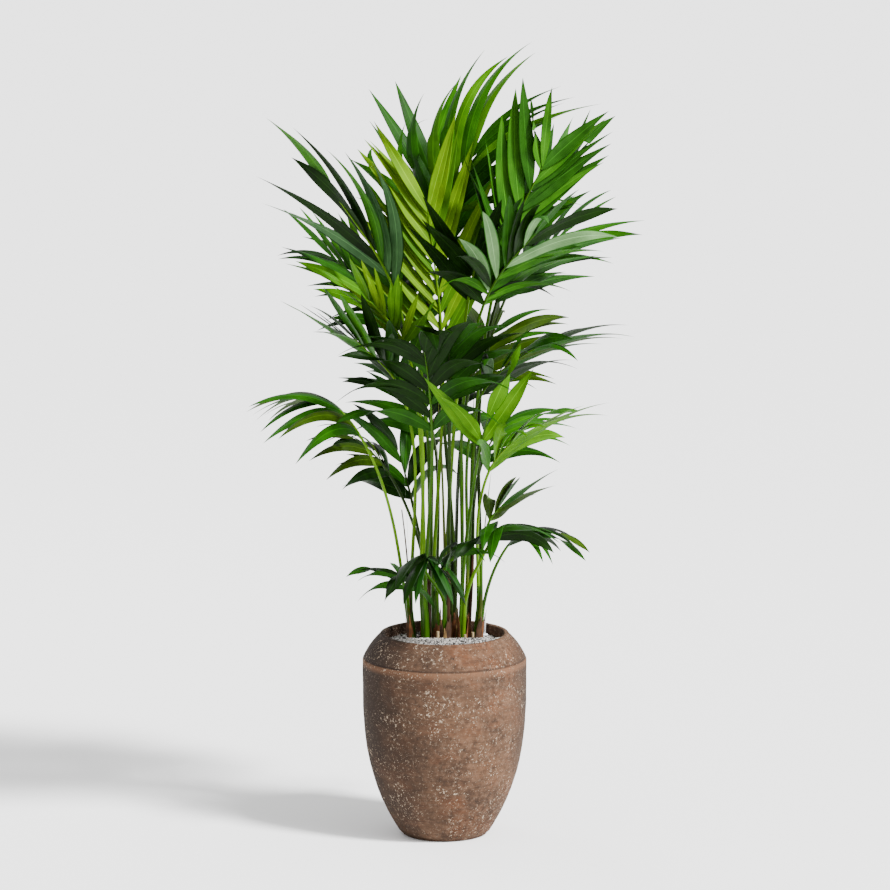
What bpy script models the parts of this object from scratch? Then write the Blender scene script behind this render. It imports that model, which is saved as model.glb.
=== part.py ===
# Kentia palm in its planter: a clump of sheathed stems in a filled pot, each carrying a few
# long-stalked fronds. Metres, +Z up, origin at the centre of the pot's flat underside.
# The palm's right is +X and its back is +Y, as someone who stands in front of it sees it.

import math
import random
from collections import namedtuple

import bmesh
import bpy
from mathutils import Quaternion, Vector
from mathutils.bvhtree import BVHTree

UP = Vector((0.0, 0.0, 1.0))
SEED = 11

# Pot
POT_HEIGHT = 0.500
POT_RADIUS = 0.200
POT_FOOT_RADIUS = 0.105
POT_EDGE_RISE = 0.005
POT_EDGE_ROUND = 0.008
POT_BELLY_TOP = 0.400
POT_BELLY_POWER = 2.85
POT_LEDGE = 0.440
POT_LEDGE_STEP = 0.003
POT_SHOULDER_BULGE = 0.004
POT_RIM_RADIUS = 0.157
POT_RIM_ROUND = 0.003
POT_MOUTH_RADIUS = 0.1455
POT_NECK_DEPTH = 0.050
POT_WALL = 0.017
POT_FLOOR = 0.020
POT_SIDES = 36
BELLY_STEPS = 7
BELLY_STEP_POWER = 1.3
SHOULDER_STEPS = 2
INNER_STEPS = 4

# Filling
GAP = 0.0003
SOIL_LEVEL = 0.463
GRAVEL_TOP = 0.475
SOIL_PATCH_CENTRE = Vector((0.004, 0.042))
SOIL_PATCH_HALF = Vector((0.108, 0.062))

# Water gauge
GAUGE_PLACE = Vector((0.098, 0.085, GRAVEL_TOP + GAP))
GAUGE_COLLAR_RADIUS = 0.009
GAUGE_COLLAR_HEIGHT = 0.004
GAUGE_TUBE_RADIUS = 0.0035
GAUGE_HEIGHT = 0.057
GAUGE_SIDES = 12

# Stems: where each stands, how tall it is above the soil and how far its top leans out
Stem = namedtuple("Stem", "place height lean")
STEMS = {
    "stem_left": Stem((-0.079, 0.035), 0.085, (-0.008, 0.000)),
    "stem_left_front": Stem((-0.045, 0.010), 0.105, (-0.005, -0.004)),
    "stem_left_back": Stem((-0.030, 0.082), 0.110, (-0.004, 0.006)),
    "stem_middle": Stem((-0.020, 0.045), 0.125, (-0.002, 0.000)),
    "stem_front": Stem((0.002, 0.010), 0.110, (0.001, -0.005)),
    "stem_back": Stem((0.021, 0.072), 0.120, (0.002, 0.005)),
    "stem_right_front": Stem((0.042, 0.034), 0.105, (0.004, -0.003)),
    "stem_right_back": Stem((0.056, 0.079), 0.115, (0.005, 0.005)),
    "stem_right": Stem((0.080, 0.047), 0.090, (0.008, 0.000)),
}
STEM_TOP_RADIUS = 0.0105
STEM_RADIUS = 0.0120
STEM_FLARE_RADIUS = 0.0150
STEM_FLARE_HEIGHT = 0.022
STEM_LEAN_POWER = 1.5
STEM_SIDES = 8

# Fronds. A stalk rises from its stem to the knee, where the leaflets start, and arches on to the tip.
# facing is the compass angle, from +X, that the frond leans to, spread a share of the usual opening
# of its leaflets, and droop how far they bend.
Frond = namedtuple("Frond", "name stem facing knee tip pairs spread length width droop")
FRONDS = (
    Frond("frond_bright", "stem_middle", -86, (-0.005, 0.000, 1.200), (-0.040, 0.020, 1.535),
          9, 0.66, 0.325, 0.035, 0.12),
    Frond("frond_crest", "stem_back", 84, (0.000, 0.080, 1.430), (0.070, 0.100, 1.665),
          9, 0.85, 0.395, 0.038, 0.50),
    Frond("frond_upper_left", "stem_left_front", -118, (-0.120, -0.050, 1.345), (-0.270, -0.100, 1.600),
          9, 0.50, 0.365, 0.042, 0.25),
    Frond("frond_front_right", "stem_right_front", -54, (0.092, -0.110, 1.320), (0.218, -0.180, 1.505),
          7, 0.90, 0.280, 0.042, 0.60),
    Frond("frond_front_crown", "stem_front", -86, (0.056, -0.070, 1.325), (0.084, -0.150, 1.460),
          5, 0.62, 0.280, 0.044, 0.34),
    Frond("frond_upper_right", "stem_right_back", -70, (0.138, 0.020, 1.420), (0.236, 0.030, 1.640),
          5, 0.66, 0.300, 0.046, 0.14),
    Frond("frond_right_high", "stem_right", 44, (0.124, 0.060, 1.300), (0.275, 0.090, 1.570),
          8, 0.78, 0.300, 0.035, 0.36),
    Frond("frond_right_wide", "stem_right_back", 40, (0.150, 0.120, 1.310), (0.280, 0.170, 1.450),
          6, 0.90, 0.285, 0.036, 0.50),
    Frond("frond_left_high", "stem_left_back", 140, (-0.106, 0.060, 1.235), (-0.262, 0.100, 1.400),
          8, 0.85, 0.265, 0.037, 0.42),
    Frond("frond_left_wide", "stem_left", -140, (-0.105, -0.020, 1.100), (-0.215, -0.075, 1.235),
          6, 0.75, 0.280, 0.048, 0.15),
    Frond("frond_left_young", "stem_left_front", -130, (-0.095, -0.110, 1.225), (-0.182, -0.165, 1.345),
          4, 0.80, 0.200, 0.030, 0.20),
    Frond("frond_front_dark", "stem_left_front", -100, (-0.030, -0.120, 1.015), (-0.048, -0.205, 1.225),
          7, 0.90, 0.270, 0.045, 1.05),
    Frond("frond_front_middle", "stem_front", -80, (0.012, -0.095, 1.085), (0.010, -0.185, 1.235),
          5, 0.90, 0.250, 0.044, 0.95),
    Frond("frond_right_low", "stem_right_front", -40, (0.086, -0.045, 1.090), (0.240, -0.110, 1.230),
          6, 0.80, 0.280, 0.038, 0.58),
    Frond("frond_right_young", "stem_right_front", -68, (0.086, -0.150, 0.985), (0.106, -0.185, 1.070),
          3, 0.55, 0.265, 0.050, 0.12),
    Frond("frond_right_bright", "stem_right", -36, (0.105, -0.060, 0.905), (0.165, -0.085, 0.985),
          4, 0.75, 0.280, 0.042, 0.75),
    Frond("frond_left_arching", "stem_left", 176, (-0.202, -0.060, 0.995), (-0.285, -0.070, 1.080),
          6, 0.80, 0.285, 0.036, 1.40),
    Frond("frond_left_drooping", "stem_left_back", 160, (-0.130, 0.030, 0.880), (-0.222, 0.030, 0.975),
          5, 0.85, 0.195, 0.034, 1.00),
    Frond("frond_left_shaded", "stem_left_back", 130, (-0.080, 0.090, 0.810), (-0.118, 0.120, 0.935),
          5, 0.80, 0.215, 0.042, 0.80),
    Frond("frond_back_high", "stem_back", 96, (-0.006, 0.140, 1.410), (-0.034, 0.215, 1.650),
          8, 0.72, 0.300, 0.044, 0.30),
    Frond("frond_back_left", "stem_left_back", 118, (-0.075, 0.150, 1.215), (-0.160, 0.270, 1.390),
          8, 0.95, 0.260, 0.038, 0.60),
    Frond("frond_back_right", "stem_back", 66, (0.060, 0.160, 1.070), (0.120, 0.270, 1.200),
          7, 0.95, 0.260, 0.038, 0.66),
    Frond("frond_back_middle", "stem_middle", 102, (-0.025, 0.150, 0.950), (-0.065, 0.250, 1.060),
          6, 0.95, 0.250, 0.040, 0.75),
    Frond("frond_back_low", "stem_right_back", 52, (0.090, 0.140, 0.890), (0.150, 0.230, 0.980),
          5, 0.95, 0.235, 0.038, 0.80),
    Frond("frond_low_right", "stem_right", -40, (0.108, 0.030, 0.768), (0.142, 0.022, 0.812),
          3, 0.85, 0.185, 0.038, 0.50),
    Frond("frond_low_reaching", "stem_right", -20, (0.150, 0.050, 0.700), (0.186, 0.052, 0.732),
          2, 0.70, 0.225, 0.032, 1.35),
    Frond("frond_low_hanging", "stem_right_front", -70, (0.112, -0.060, 0.738), (0.132, -0.090, 0.775),
          3, 0.95, 0.200, 0.042, 1.40),
    Frond("frond_low_front", "stem_front", -90, (-0.048, -0.070, 0.672), (-0.042, -0.118, 0.706),
          3, 0.95, 0.190, 0.048, 1.90),
    Frond("frond_low_middle", "stem_middle", -66, (0.026, -0.045, 0.700), (0.040, -0.080, 0.735),
          3, 0.95, 0.155, 0.034, 1.30),
    Frond("frond_low_left", "stem_left", -120, (-0.094, -0.010, 0.606), (-0.112, -0.030, 0.650),
          3, 0.95, 0.150, 0.034, 1.20),
)
# Which way the leaflets of a frond are drawn as they bend, beside their droop
SWEEPS = {
    "frond_crest": (0.85, 0.0, 0.0),
    "frond_upper_left": (-0.65, 0.0, 0.0),
    "frond_upper_right": (0.15, 0.0, 0.0),
    "frond_right_wide": (0.25, 0.0, 0.0),
    "frond_left_arching": (-0.40, 0.0, 0.0),
    "frond_left_drooping": (-0.30, 0.0, 0.0),
}
PETIOLE_FOOT_RADIUS = 0.0036
PETIOLE_SPACING = 0.0064
KNEE_RADIUS = 0.0032
RIB_TIP_RADIUS = 0.0020
PETIOLE_STEPS = 4
NOD_PER_DROOP = 0.35
RIB_CLEARANCE = 0.0010
# How far a stalk bows aside and outwards on its way, tried in order until it is clear of the others
BOW_TRIALS = tuple(
    (aside, outward)
    for outward in (0.0, 0.018, -0.018, 0.036)
    for aside in (0.0, 0.014, -0.014, 0.028, -0.028, 0.042, -0.042, 0.056, -0.056)
)

# Leaflets. Widths along the blade are shares of its width, and its length changes along the rachis.
# The blade is free of the rachis from FREE_FROM on, and one steeper than LEVEL_LEAST keeps its roll.
ROOT_WIDTH = 0.30
BLADE_OUTLINE = ((0.26, 0.92), (0.52, 0.96), (0.78, 0.60))
BLADE_THICKNESS = 0.0108
BLADE_BEND_POWER = 1.2
BLADE_BEND_STEPS = 24
BLADE_TWIST = 0.80
BLADE_ROLL = math.radians(20.0)
OPEN_AT_KNEE = math.radians(56.0)
OPEN_AT_TIP = math.radians(21.0)
LIFT_FLAT = math.radians(16.0)
LIFT_PER_DROOP = math.radians(20.0)
LENGTH_SHARES = (0.90, 0.50, -0.66)
DROOP_AT_KNEE = 1.2
DROOP_AT_TIP = 0.8
JITTER = 0.16
LIFT_JITTER = 0.10
LEVEL_LEAST = 0.15
FREE_FROM = 0.04
LEAF_CLEARANCE = 0.0010
LOWEST_LEAF = 0.545
HIGHEST_LEAF = 1.935
# Turn in degrees, added droop and share of the length, tried in order until a leaflet is clear
LEAF_TRIALS = (
    (0, 0.0, 1.0), (6, 0.08, 1.0), (-6, -0.08, 1.0), (12, 0.0, 0.96), (-12, 0.0, 0.96), (0, 0.25, 0.96),
    (0, -0.25, 0.94), (8, 0.5, 0.92), (-8, 0.5, 0.90), (10, 0.3, 0.86), (-10, 0.3, 0.86), (16, -0.2, 0.80),
    (-16, -0.2, 0.80), (20, 0.4, 0.80), (0, 0.8, 0.80), (0, 0.0, 0.62), (12, 0.5, 0.56), (-12, 0.5, 0.56),
)

# Finishes: base colour, roughness
TERRACOTTA = ((0.145, 0.082, 0.055), 0.85)
SOIL = ((0.020, 0.013, 0.009), 0.95)
GRANULATE = ((0.62, 0.60, 0.57), 0.80)
CLEAR_TUBE = ((0.85, 0.87, 0.88), 0.15)
SHEATH = ((0.180, 0.260, 0.050), 0.55)
LEAF_BRIGHT = ((0.190, 0.360, 0.010), 0.42)
LEAF_GREEN = ((0.045, 0.170, 0.012), 0.40)
BRIGHT_FRONDS = ("frond_bright", "frond_left_young", "frond_right_young", "frond_right_bright")


def finish(name, look):
    colour, roughness = look
    material = bpy.data.materials.new(name)
    material.use_nodes = True
    shader = material.node_tree.nodes["Principled BSDF"]
    shader.inputs["Base Color"].default_value = (*colour, 1.0)
    shader.inputs["Roughness"].default_value = roughness
    shader.inputs["Metallic"].default_value = 0.0
    return material


def mesh_object(name, solid, look, parent):
    corners, faces = solid
    mesh = bpy.data.meshes.new(name)
    mesh.from_pydata(corners, [], faces)
    return place_object(name, mesh, look, parent)


def place_object(name, mesh, look, parent):
    mesh.materials.append(finish(name, look))
    mesh.shade_smooth()
    mesh.set_sharp_from_angle(angle=math.radians(35.0))
    thing = bpy.data.objects.new(name, mesh)
    thing.parent = parent
    bpy.context.scene.collection.objects.link(thing)
    return thing


def tube(rings):
    # Rings run anticlockwise round the way they follow each other, and a ring of one point is a tip.
    corners = []
    starts = []
    for ring in rings:
        starts.append(len(corners))
        corners.extend(ring)
    faces = [tuple(reversed(range(len(rings[0]))))]
    for here, ahead, ring in zip(starts, starts[1:], rings[1:]):
        faces.extend(wall(range(here, ahead), range(ahead, ahead + len(ring))))
    if len(rings[-1]) > 1:
        faces.append(tuple(range(starts[-1], len(corners))))
    return corners, faces


def wall(ring, following):
    # The faces from one ring of corners to the next, or to the one corner of a tip
    faces = []
    for k in range(len(ring)):
        after = (k + 1) % len(ring)
        if len(following) == 1:
            faces.append((ring[k], ring[after], following[0]))
        else:
            faces.append((ring[k], ring[after], following[after], following[k]))
    return faces


def outer_halves(corners, face):
    # A bent four-cornered face is split along the diagonal that stands out, so that a thin blade never
    # cuts through itself where it twists.
    if len(face) != 4:
        return [face]
    a, b, c, d = face
    normal = (corners[b] - corners[a]).cross(corners[c] - corners[a])
    if normal.dot(corners[d] - corners[a]) > 0.0:
        return [(a, b, d), (b, c, d)]
    return [(a, b, c), (a, c, d)]


def turned(name, outline, sides, look, parent):
    # The outline lists radius and height. An end on the axis closes there.
    bm = bmesh.new()
    points = [bm.verts.new((radius, 0.0, height)) for radius, height in outline]
    edges = [bm.edges.new(pair) for pair in zip(points, points[1:])]
    bmesh.ops.spin(
        bm, geom=points + edges, cent=(0.0, 0.0, 0.0), axis=(0.0, 0.0, 1.0), angle=math.tau, steps=sides,
        use_merge=True,
    )
    bmesh.ops.remove_doubles(bm, verts=bm.verts, dist=1e-6)
    bmesh.ops.recalc_face_normals(bm, faces=bm.faces)
    mesh = bpy.data.meshes.new(name)
    bm.to_mesh(mesh)
    bm.free()
    return place_object(name, mesh, look, parent)


def belly_radius(height):
    share = min(height / POT_BELLY_TOP, 1.0)
    return POT_FOOT_RADIUS + (POT_RADIUS - POT_FOOT_RADIUS) * (1.0 - (1.0 - share) ** POT_BELLY_POWER)


def inner_wall(inset):
    # From the mouth down under the shoulder and along the belly to the middle of the floor
    neck_foot = POT_HEIGHT - POT_NECK_DEPTH
    shoulder_foot = POT_LEDGE - POT_WALL
    outline = [
        (POT_MOUTH_RADIUS - inset, neck_foot - inset),
        (POT_RADIUS - POT_WALL - inset, shoulder_foot - inset),
    ]
    for step in range(INNER_STEPS - 1, 0, -1):
        height = POT_BELLY_TOP * step / INNER_STEPS
        outline.append((belly_radius(height) - POT_WALL - inset, height + POT_WALL / 3 + inset))
    outline.append((POT_FOOT_RADIUS - POT_WALL - inset, POT_FLOOR + inset))
    outline.append((0.0, POT_FLOOR + inset))
    return outline


def make_pot(parent):
    outline = [(0.0, 0.0), (POT_FOOT_RADIUS - POT_EDGE_ROUND, 0.0)]
    for step in range(BELLY_STEPS + 1):
        share = (step / BELLY_STEPS) ** BELLY_STEP_POWER
        height = POT_EDGE_RISE + (POT_BELLY_TOP - POT_EDGE_RISE) * share
        outline.append((belly_radius(height), height))
    outline.append((POT_RADIUS, POT_LEDGE))
    shoulder_foot = (POT_RADIUS - POT_LEDGE_STEP, POT_LEDGE + POT_LEDGE_STEP)
    shoulder_rise = POT_HEIGHT - POT_RIM_ROUND - shoulder_foot[1]
    shoulder_run = shoulder_foot[0] - POT_RIM_RADIUS
    for step in range(SHOULDER_STEPS + 1):
        share = step / SHOULDER_STEPS
        radius = shoulder_foot[0] - shoulder_run * share + POT_SHOULDER_BULGE * math.sin(math.pi * share)
        outline.append((radius, shoulder_foot[1] + shoulder_rise * share))
    outline.append((POT_RIM_RADIUS - POT_RIM_ROUND, POT_HEIGHT))
    outline.append((POT_MOUTH_RADIUS + POT_RIM_ROUND, POT_HEIGHT))
    outline.append((POT_MOUTH_RADIUS, POT_HEIGHT - POT_RIM_ROUND))
    outline.extend(inner_wall(0.0))
    turned("pot", outline, POT_SIDES, TERRACOTTA, parent)


def make_filling(parent):
    outline = [(0.0, SOIL_LEVEL), (POT_MOUTH_RADIUS - GAP, SOIL_LEVEL)] + inner_wall(GAP)
    turned("growing_medium", outline, POT_SIDES, SOIL, parent)
    # The gravel is a collar round the bare soil that the stems stand in.
    low = SOIL_LEVEL + GAP
    corners = []
    for outer, height in ((True, low), (True, GRAVEL_TOP), (False, GRAVEL_TOP), (False, low)):
        for k in range(POT_SIDES):
            corners.append(gravel_point(math.tau * k / POT_SIDES, outer, height))
    faces = []
    for here in range(4):
        ahead = (here + 1) % 4
        faces.extend(wall(
            range(here * POT_SIDES, (here + 1) * POT_SIDES),
            range(ahead * POT_SIDES, (ahead + 1) * POT_SIDES),
        ))
    mesh_object("gravel", (corners, faces), GRANULATE, parent)


def gravel_point(angle, outer, height):
    if outer:
        radius = POT_MOUTH_RADIUS - GAP
        return Vector((radius * math.cos(angle), radius * math.sin(angle), height))
    return Vector((
        SOIL_PATCH_CENTRE.x + SOIL_PATCH_HALF.x * math.cos(angle),
        SOIL_PATCH_CENTRE.y + SOIL_PATCH_HALF.y * math.sin(angle),
        height,
    ))


def make_gauge(parent):
    outline = [
        (0.0, 0.0),
        (GAUGE_COLLAR_RADIUS, 0.0),
        (GAUGE_COLLAR_RADIUS, GAUGE_COLLAR_HEIGHT * 0.6),
        (GAUGE_TUBE_RADIUS, GAUGE_COLLAR_HEIGHT),
        (GAUGE_TUBE_RADIUS, GAUGE_HEIGHT - GAUGE_TUBE_RADIUS * 0.5),
        (GAUGE_TUBE_RADIUS * 0.6, GAUGE_HEIGHT),
        (0.0, GAUGE_HEIGHT),
    ]
    gauge = turned("water_gauge", outline, GAUGE_SIDES, CLEAR_TUBE, parent)
    gauge.location = GAUGE_PLACE


def stem_solid(stem):
    foot = Vector((*stem.place, SOIL_LEVEL + GAP))
    lean = Vector((*stem.lean, 0.0))
    levels = (
        (0.0, STEM_FLARE_RADIUS),
        (STEM_FLARE_HEIGHT * 0.4, STEM_FLARE_RADIUS * 0.86),
        (STEM_FLARE_HEIGHT, STEM_RADIUS),
        (stem.height * 0.6, (STEM_RADIUS + STEM_TOP_RADIUS) / 2),
        (stem.height, STEM_TOP_RADIUS),
    )
    rings = []
    for height, radius in levels:
        centre = foot + UP * height + lean * (height / stem.height) ** STEM_LEAN_POWER
        rings.append([centre + compass(360.0 * k / STEM_SIDES) * radius for k in range(STEM_SIDES)])
    return tube(rings)


def stem_top(stem):
    return Vector((*stem.place, SOIL_LEVEL + GAP + stem.height)) + Vector((*stem.lean, 0.0))


def compass(degrees):
    return Vector((math.cos(math.radians(degrees)), math.sin(math.radians(degrees)), 0.0))


def petiole_feet():
    # The lowest frond of a stem takes the side it goes to, and each higher one the nearest side left.
    feet = {}
    for stem_name, stem in STEMS.items():
        top = stem_top(stem)
        carried = [frond for frond in FRONDS if frond.stem == stem_name]
        carried.sort(key=lambda frond: frond.knee[2])
        ways = [Vector(frond.knee) - top for frond in carried]
        bearings = [math.degrees(math.atan2(way.y, way.x)) for way in ways]
        free = [bearings[0] + 360.0 * slot / len(carried) for slot in range(len(carried))]
        for frond, bearing in zip(carried, bearings):
            nearest = min(free, key=lambda way: abs((way - bearing + 180.0) % 360.0 - 180.0))
            free.remove(nearest)
            feet[frond.name] = top + compass(nearest) * PETIOLE_SPACING + UP * GAP
    return feet


# A rib is two cubic curves that meet at the knee, and a place on it runs from -1 at the foot
# over 0 at the knee to 1 at the tip.
Rib = namedtuple("Rib", "petiole rachis left")


def make_rib(frond, foot, bow):
    knee = Vector(frond.knee)
    tip = Vector(frond.tip)
    rise = knee - foot
    reach = tip - knee
    turn = (rise.normalized() + reach.normalized()).normalized()
    start = (rise.normalized() + UP).normalized()
    nod = (reach.normalized() - UP * (NOD_PER_DROOP * frond.droop)).normalized()
    aside, outward = bow
    away = Vector((rise.x, rise.y, 0.0)).normalized()
    bulge = UP.cross(away) * aside + away * outward
    petiole = (foot, foot + start * (rise.length / 3) + bulge, knee - turn * (rise.length / 3) + bulge, knee)
    rachis = (knee, knee + turn * (reach.length / 3), tip - nod * (reach.length / 3), tip)
    return Rib(petiole, rachis, compass(frond.facing + 90.0))


def rib_frame(rib, place):
    # The point there, the way the rib runs, the way to the frond's left and the way its upper side faces
    a, b, c, d = rib.petiole if place < 0.0 else rib.rachis
    t = place % 1.0 if place < 1.0 else 1.0
    u = 1.0 - t
    point = a * u ** 3 + b * (3.0 * u * u * t) + c * (3.0 * u * t * t) + d * t ** 3
    along = UP
    if place > -1.0:
        along = ((b - a) * (u * u) + (c - b) * (2.0 * u * t) + (d - c) * (t * t)).normalized()
    across = (rib.left - along * rib.left.dot(along)).normalized()
    return point, along, across, along.cross(across)


def rib_radius(place):
    if place < 0.0:
        return KNEE_RADIUS - (PETIOLE_FOOT_RADIUS - KNEE_RADIUS) * place
    return KNEE_RADIUS + (RIB_TIP_RADIUS - KNEE_RADIUS) * place


def rib_ring(rib, place, swell=0.0):
    # Three corners: the ridge on the upper side, then the right and the left one under it
    point, along, across, upper = rib_frame(rib, place)
    radius = rib_radius(place) + swell
    ring = []
    for angle in (90.0, 210.0, 330.0):
        turn = compass(angle)
        ring.append(point + across * (turn.x * radius) + upper * (turn.y * radius))
    return ring


def root_share(frond):
    rachis = (Vector(frond.tip) - Vector(frond.knee)).length
    return ROOT_WIDTH * frond.width / rachis


def pair_place(frond, pair):
    # Where on the rachis a pair of leaflets starts
    return (1.0 - root_share(frond)) * pair / (frond.pairs - 1)


def petiole_rings(rib, swell=0.0):
    return [rib_ring(rib, step / PETIOLE_STEPS - 1.0, swell) for step in range(PETIOLE_STEPS)]


def rachis_rings(frond, rib, swell=0.0):
    rings = []
    for pair in range(frond.pairs):
        start = pair_place(frond, pair)
        rings.append(rib_ring(rib, start, swell))
        rings.append(rib_ring(rib, start + root_share(frond), swell))
    return rings


def leaflet_rule(frond, side, pair, rng):
    # Where a leaflet starts on the rachis, and its own size, opening and droop
    place = pair_place(frond, pair)
    base, first, second = LENGTH_SHARES
    length = frond.length * (base + first * place + second * place * place)
    opening = max((OPEN_AT_KNEE + (OPEN_AT_TIP - OPEN_AT_KNEE) * place) * frond.spread, OPEN_AT_TIP)
    droop = frond.droop * (DROOP_AT_KNEE + (DROOP_AT_TIP - DROOP_AT_KNEE) * place)
    return {
        "place": place + root_share(frond) / 2,
        "side": side,
        "length": length * rng.uniform(1.0 - JITTER * 0.5, 1.0 + JITTER * 0.5),
        "width": frond.width * rng.uniform(1.0 - JITTER, 1.0 + JITTER * 0.5),
        "open": opening * rng.uniform(1.0 - JITTER * 0.5, 1.0 + JITTER),
        "lift": LIFT_FLAT - LIFT_PER_DROOP * frond.droop + rng.uniform(-LIFT_JITTER, LIFT_JITTER),
        "droop": droop * rng.uniform(1.0 - 2.0 * JITTER, 1.0 + 2.0 * JITTER),
        "sweep": Vector(SWEEPS.get(frond.name, (0.0, 0.0, 0.0))),
    }


def leaflet_line(rib, rule, trial, stations):
    # At each station, a share of the length: the blade's middle, the way across it and its upper side
    turn, sag, scale = trial
    point, along, across, upper = rib_frame(rib, rule["place"])
    opening = rule["open"] + math.radians(turn)
    outward = across * (rule["side"] * math.cos(rule["lift"])) + upper * math.sin(rule["lift"])
    start = (along * math.cos(opening) + outward * math.sin(opening)).normalized()
    flat = (along - start * along.dot(start)).normalized()
    flat.rotate(Quaternion(start, -BLADE_ROLL * rule["side"]))
    droop = max(rule["droop"] + sag, 0.0)
    step_length = rule["length"] * scale / BLADE_BEND_STEPS
    line = []
    for step in range(BLADE_BEND_STEPS + 1):
        share = step / BLADE_BEND_STEPS
        bend = share ** BLADE_BEND_POWER
        heading = (start + (rule["sweep"] - UP * droop) * bend).normalized()
        while len(line) < len(stations) and stations[len(line)] < share + 0.5 / BLADE_BEND_STEPS:
            # The blade's own width turns level towards its point.
            wide = flat
            level = UP.cross(heading)
            if level.length > LEVEL_LEAST:
                level = level.normalized() * math.copysign(1.0, level.dot(flat))
                wide = flat.lerp(level, BLADE_TWIST * share)
            wide = (wide - heading * wide.dot(heading)).normalized()
            face = wide.cross(heading) * rule["side"]
            line.append((point.copy(), face.cross(heading), face))
        point = point + heading * step_length
    return line


def leaflet_rings(rib, rule, trial, outline=BLADE_OUTLINE, swell=0.0):
    # Keeled sections, flat on the upper side, and the point
    line = leaflet_line(rib, rule, trial, [share for share, width in outline] + [1.0])
    depth = BLADE_THICKNESS * rule["length"] / 2 + swell
    rings = []
    for (middle, across, face), (share, width) in zip(line, outline):
        half = across * (rule["width"] * width / 2 + swell)
        rings.append([middle + face * depth + half, middle + face * depth - half, middle - face * depth])
    rings.append([line[-1][0] + (line[-1][0] - line[-2][0]).normalized() * swell])
    return rings


def leaflet_space(rib, rule, trial, swell=0.0):
    # The blade as a solid of its own, from just outside the rachis
    outline = ((FREE_FROM, ROOT_WIDTH),) + BLADE_OUTLINE
    return shape_of(tube(leaflet_rings(rib, rule, trial, outline, swell)))


def shape_of(solid):
    corners, faces = solid
    low = Vector([min(corner[k] for corner in corners) for k in range(3)])
    high = Vector([max(corner[k] for corner in corners) for k in range(3)])
    return low, high, BVHTree.FromPolygons(corners, faces)


def meets(shape, taken, skip=None):
    low, high, tree = shape
    for owner, (other_low, other_high, other_tree) in taken:
        apart = any(low[k] > other_high[k] or high[k] < other_low[k] for k in range(3))
        if owner != skip and not apart and tree.overlap(other_tree):
            return True
    return False


def plan_ribs(taken):
    # Every stalk and rachis first, each bowed until it is clear of the others
    feet = petiole_feet()
    ribs = {}
    for frond in FRONDS:
        for bow in BOW_TRIALS:
            rib = make_rib(frond, feet[frond.name], bow)
            rings = petiole_rings(rib, RIB_CLEARANCE) + rachis_rings(frond, rib, RIB_CLEARANCE)
            if not meets(shape_of(tube(rings)), taken):
                break
        else:
            print("no clear way for", frond.name)
        ribs[frond.name] = rib
        taken.append(("stalk", shape_of(tube(petiole_rings(rib)))))
        taken.append((frond.name, shape_of(tube(petiole_rings(rib)[-1:] + rachis_rings(frond, rib)))))
    return ribs


def plan_leaflets(ribs, taken):
    # Each leaflet keeps the first trial that is clear of the other fronds and of its neighbours.
    kept = {}
    for number, frond in enumerate(FRONDS):
        rib = ribs[frond.name]
        rng = random.Random(SEED * 1000 + number)
        kept[frond.name] = {}
        for pair in range(frond.pairs):
            for side in (1, -1):
                rule = leaflet_rule(frond, side, pair, rng)
                for trial in LEAF_TRIALS:
                    space = leaflet_space(rib, rule, trial, LEAF_CLEARANCE)
                    if space[0].z < LOWEST_LEAF or space[1].z > HIGHEST_LEAF:
                        continue
                    if not meets(space, taken, frond.name):
                        kept[frond.name][pair, side] = leaflet_rings(rib, rule, trial)
                        taken.append(("leaflet", leaflet_space(rib, rule, trial)))
                        break
    return kept


def frond_solid(frond, rib, leaflets):
    # A leaflet grows out of the rachis's upper left or upper right face in place of that face.
    corners, faces = tube(petiole_rings(rib) + rachis_rings(frond, rib))
    for (pair, side), rings in leaflets.items():
        here = 3 * (PETIOLE_STEPS + 2 * pair)
        ahead = here + 3
        if side > 0:
            faces.remove((here + 2, here, ahead, ahead + 2))
            root = (here, ahead, ahead + 2, here + 2)
        else:
            faces.remove((here, here + 1, ahead + 1, ahead))
            root = (ahead, here, here + 1, ahead + 1)
        ring = range(len(corners), len(corners) + 3)
        faces.append((root[0], root[1], ring[1], ring[0]))
        faces.append((root[1], root[2], ring[2], ring[1]))
        faces.append((root[2], root[3], ring[2]))
        faces.append((root[3], root[0], ring[0], ring[2]))
        for following in rings[1:]:
            ahead = range(ring[-1] + 1, ring[-1] + 1 + len(following))
            faces.extend(wall(ring, ahead))
            ring = ahead
        corners.extend(corner for section in rings for corner in section)
    return corners, [half for face in faces for half in outer_halves(corners, face)]


def make_fronds(taken, parent):
    ribs = plan_ribs(taken)
    kept = plan_leaflets(ribs, taken)
    for frond in FRONDS:
        look = LEAF_BRIGHT if frond.name in BRIGHT_FRONDS else LEAF_GREEN
        mesh_object(frond.name, frond_solid(frond, ribs[frond.name], kept[frond.name]), look, parent)
        print(frond.name, "has", len(kept[frond.name]), "of", 2 * frond.pairs, "leaflets")


def make_stems(taken, parent):
    for name, stem in STEMS.items():
        solid = stem_solid(stem)
        taken.append((name, shape_of(solid)))
        mesh_object(name, solid, SHEATH, parent)


def main():
    for thing in list(bpy.data.objects):
        bpy.data.objects.remove(thing)
    planter = bpy.data.objects.new("planter", None)
    palm = bpy.data.objects.new("palm", None)
    for group in (planter, palm):
        bpy.context.scene.collection.objects.link(group)
    make_pot(planter)
    make_filling(planter)
    make_gauge(planter)
    taken = []
    make_stems(taken, palm)
    make_fronds(taken, palm)


main()
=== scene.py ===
# Kentia palm in its planter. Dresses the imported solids: fronds with pleated leaflets, sheathed stems,
# a weathered pot with gravel, and a plain studio.

import math
import random
from collections import namedtuple

import bmesh
import bpy
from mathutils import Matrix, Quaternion, Vector, noise
from mathutils.bvhtree import BVHTree


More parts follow.
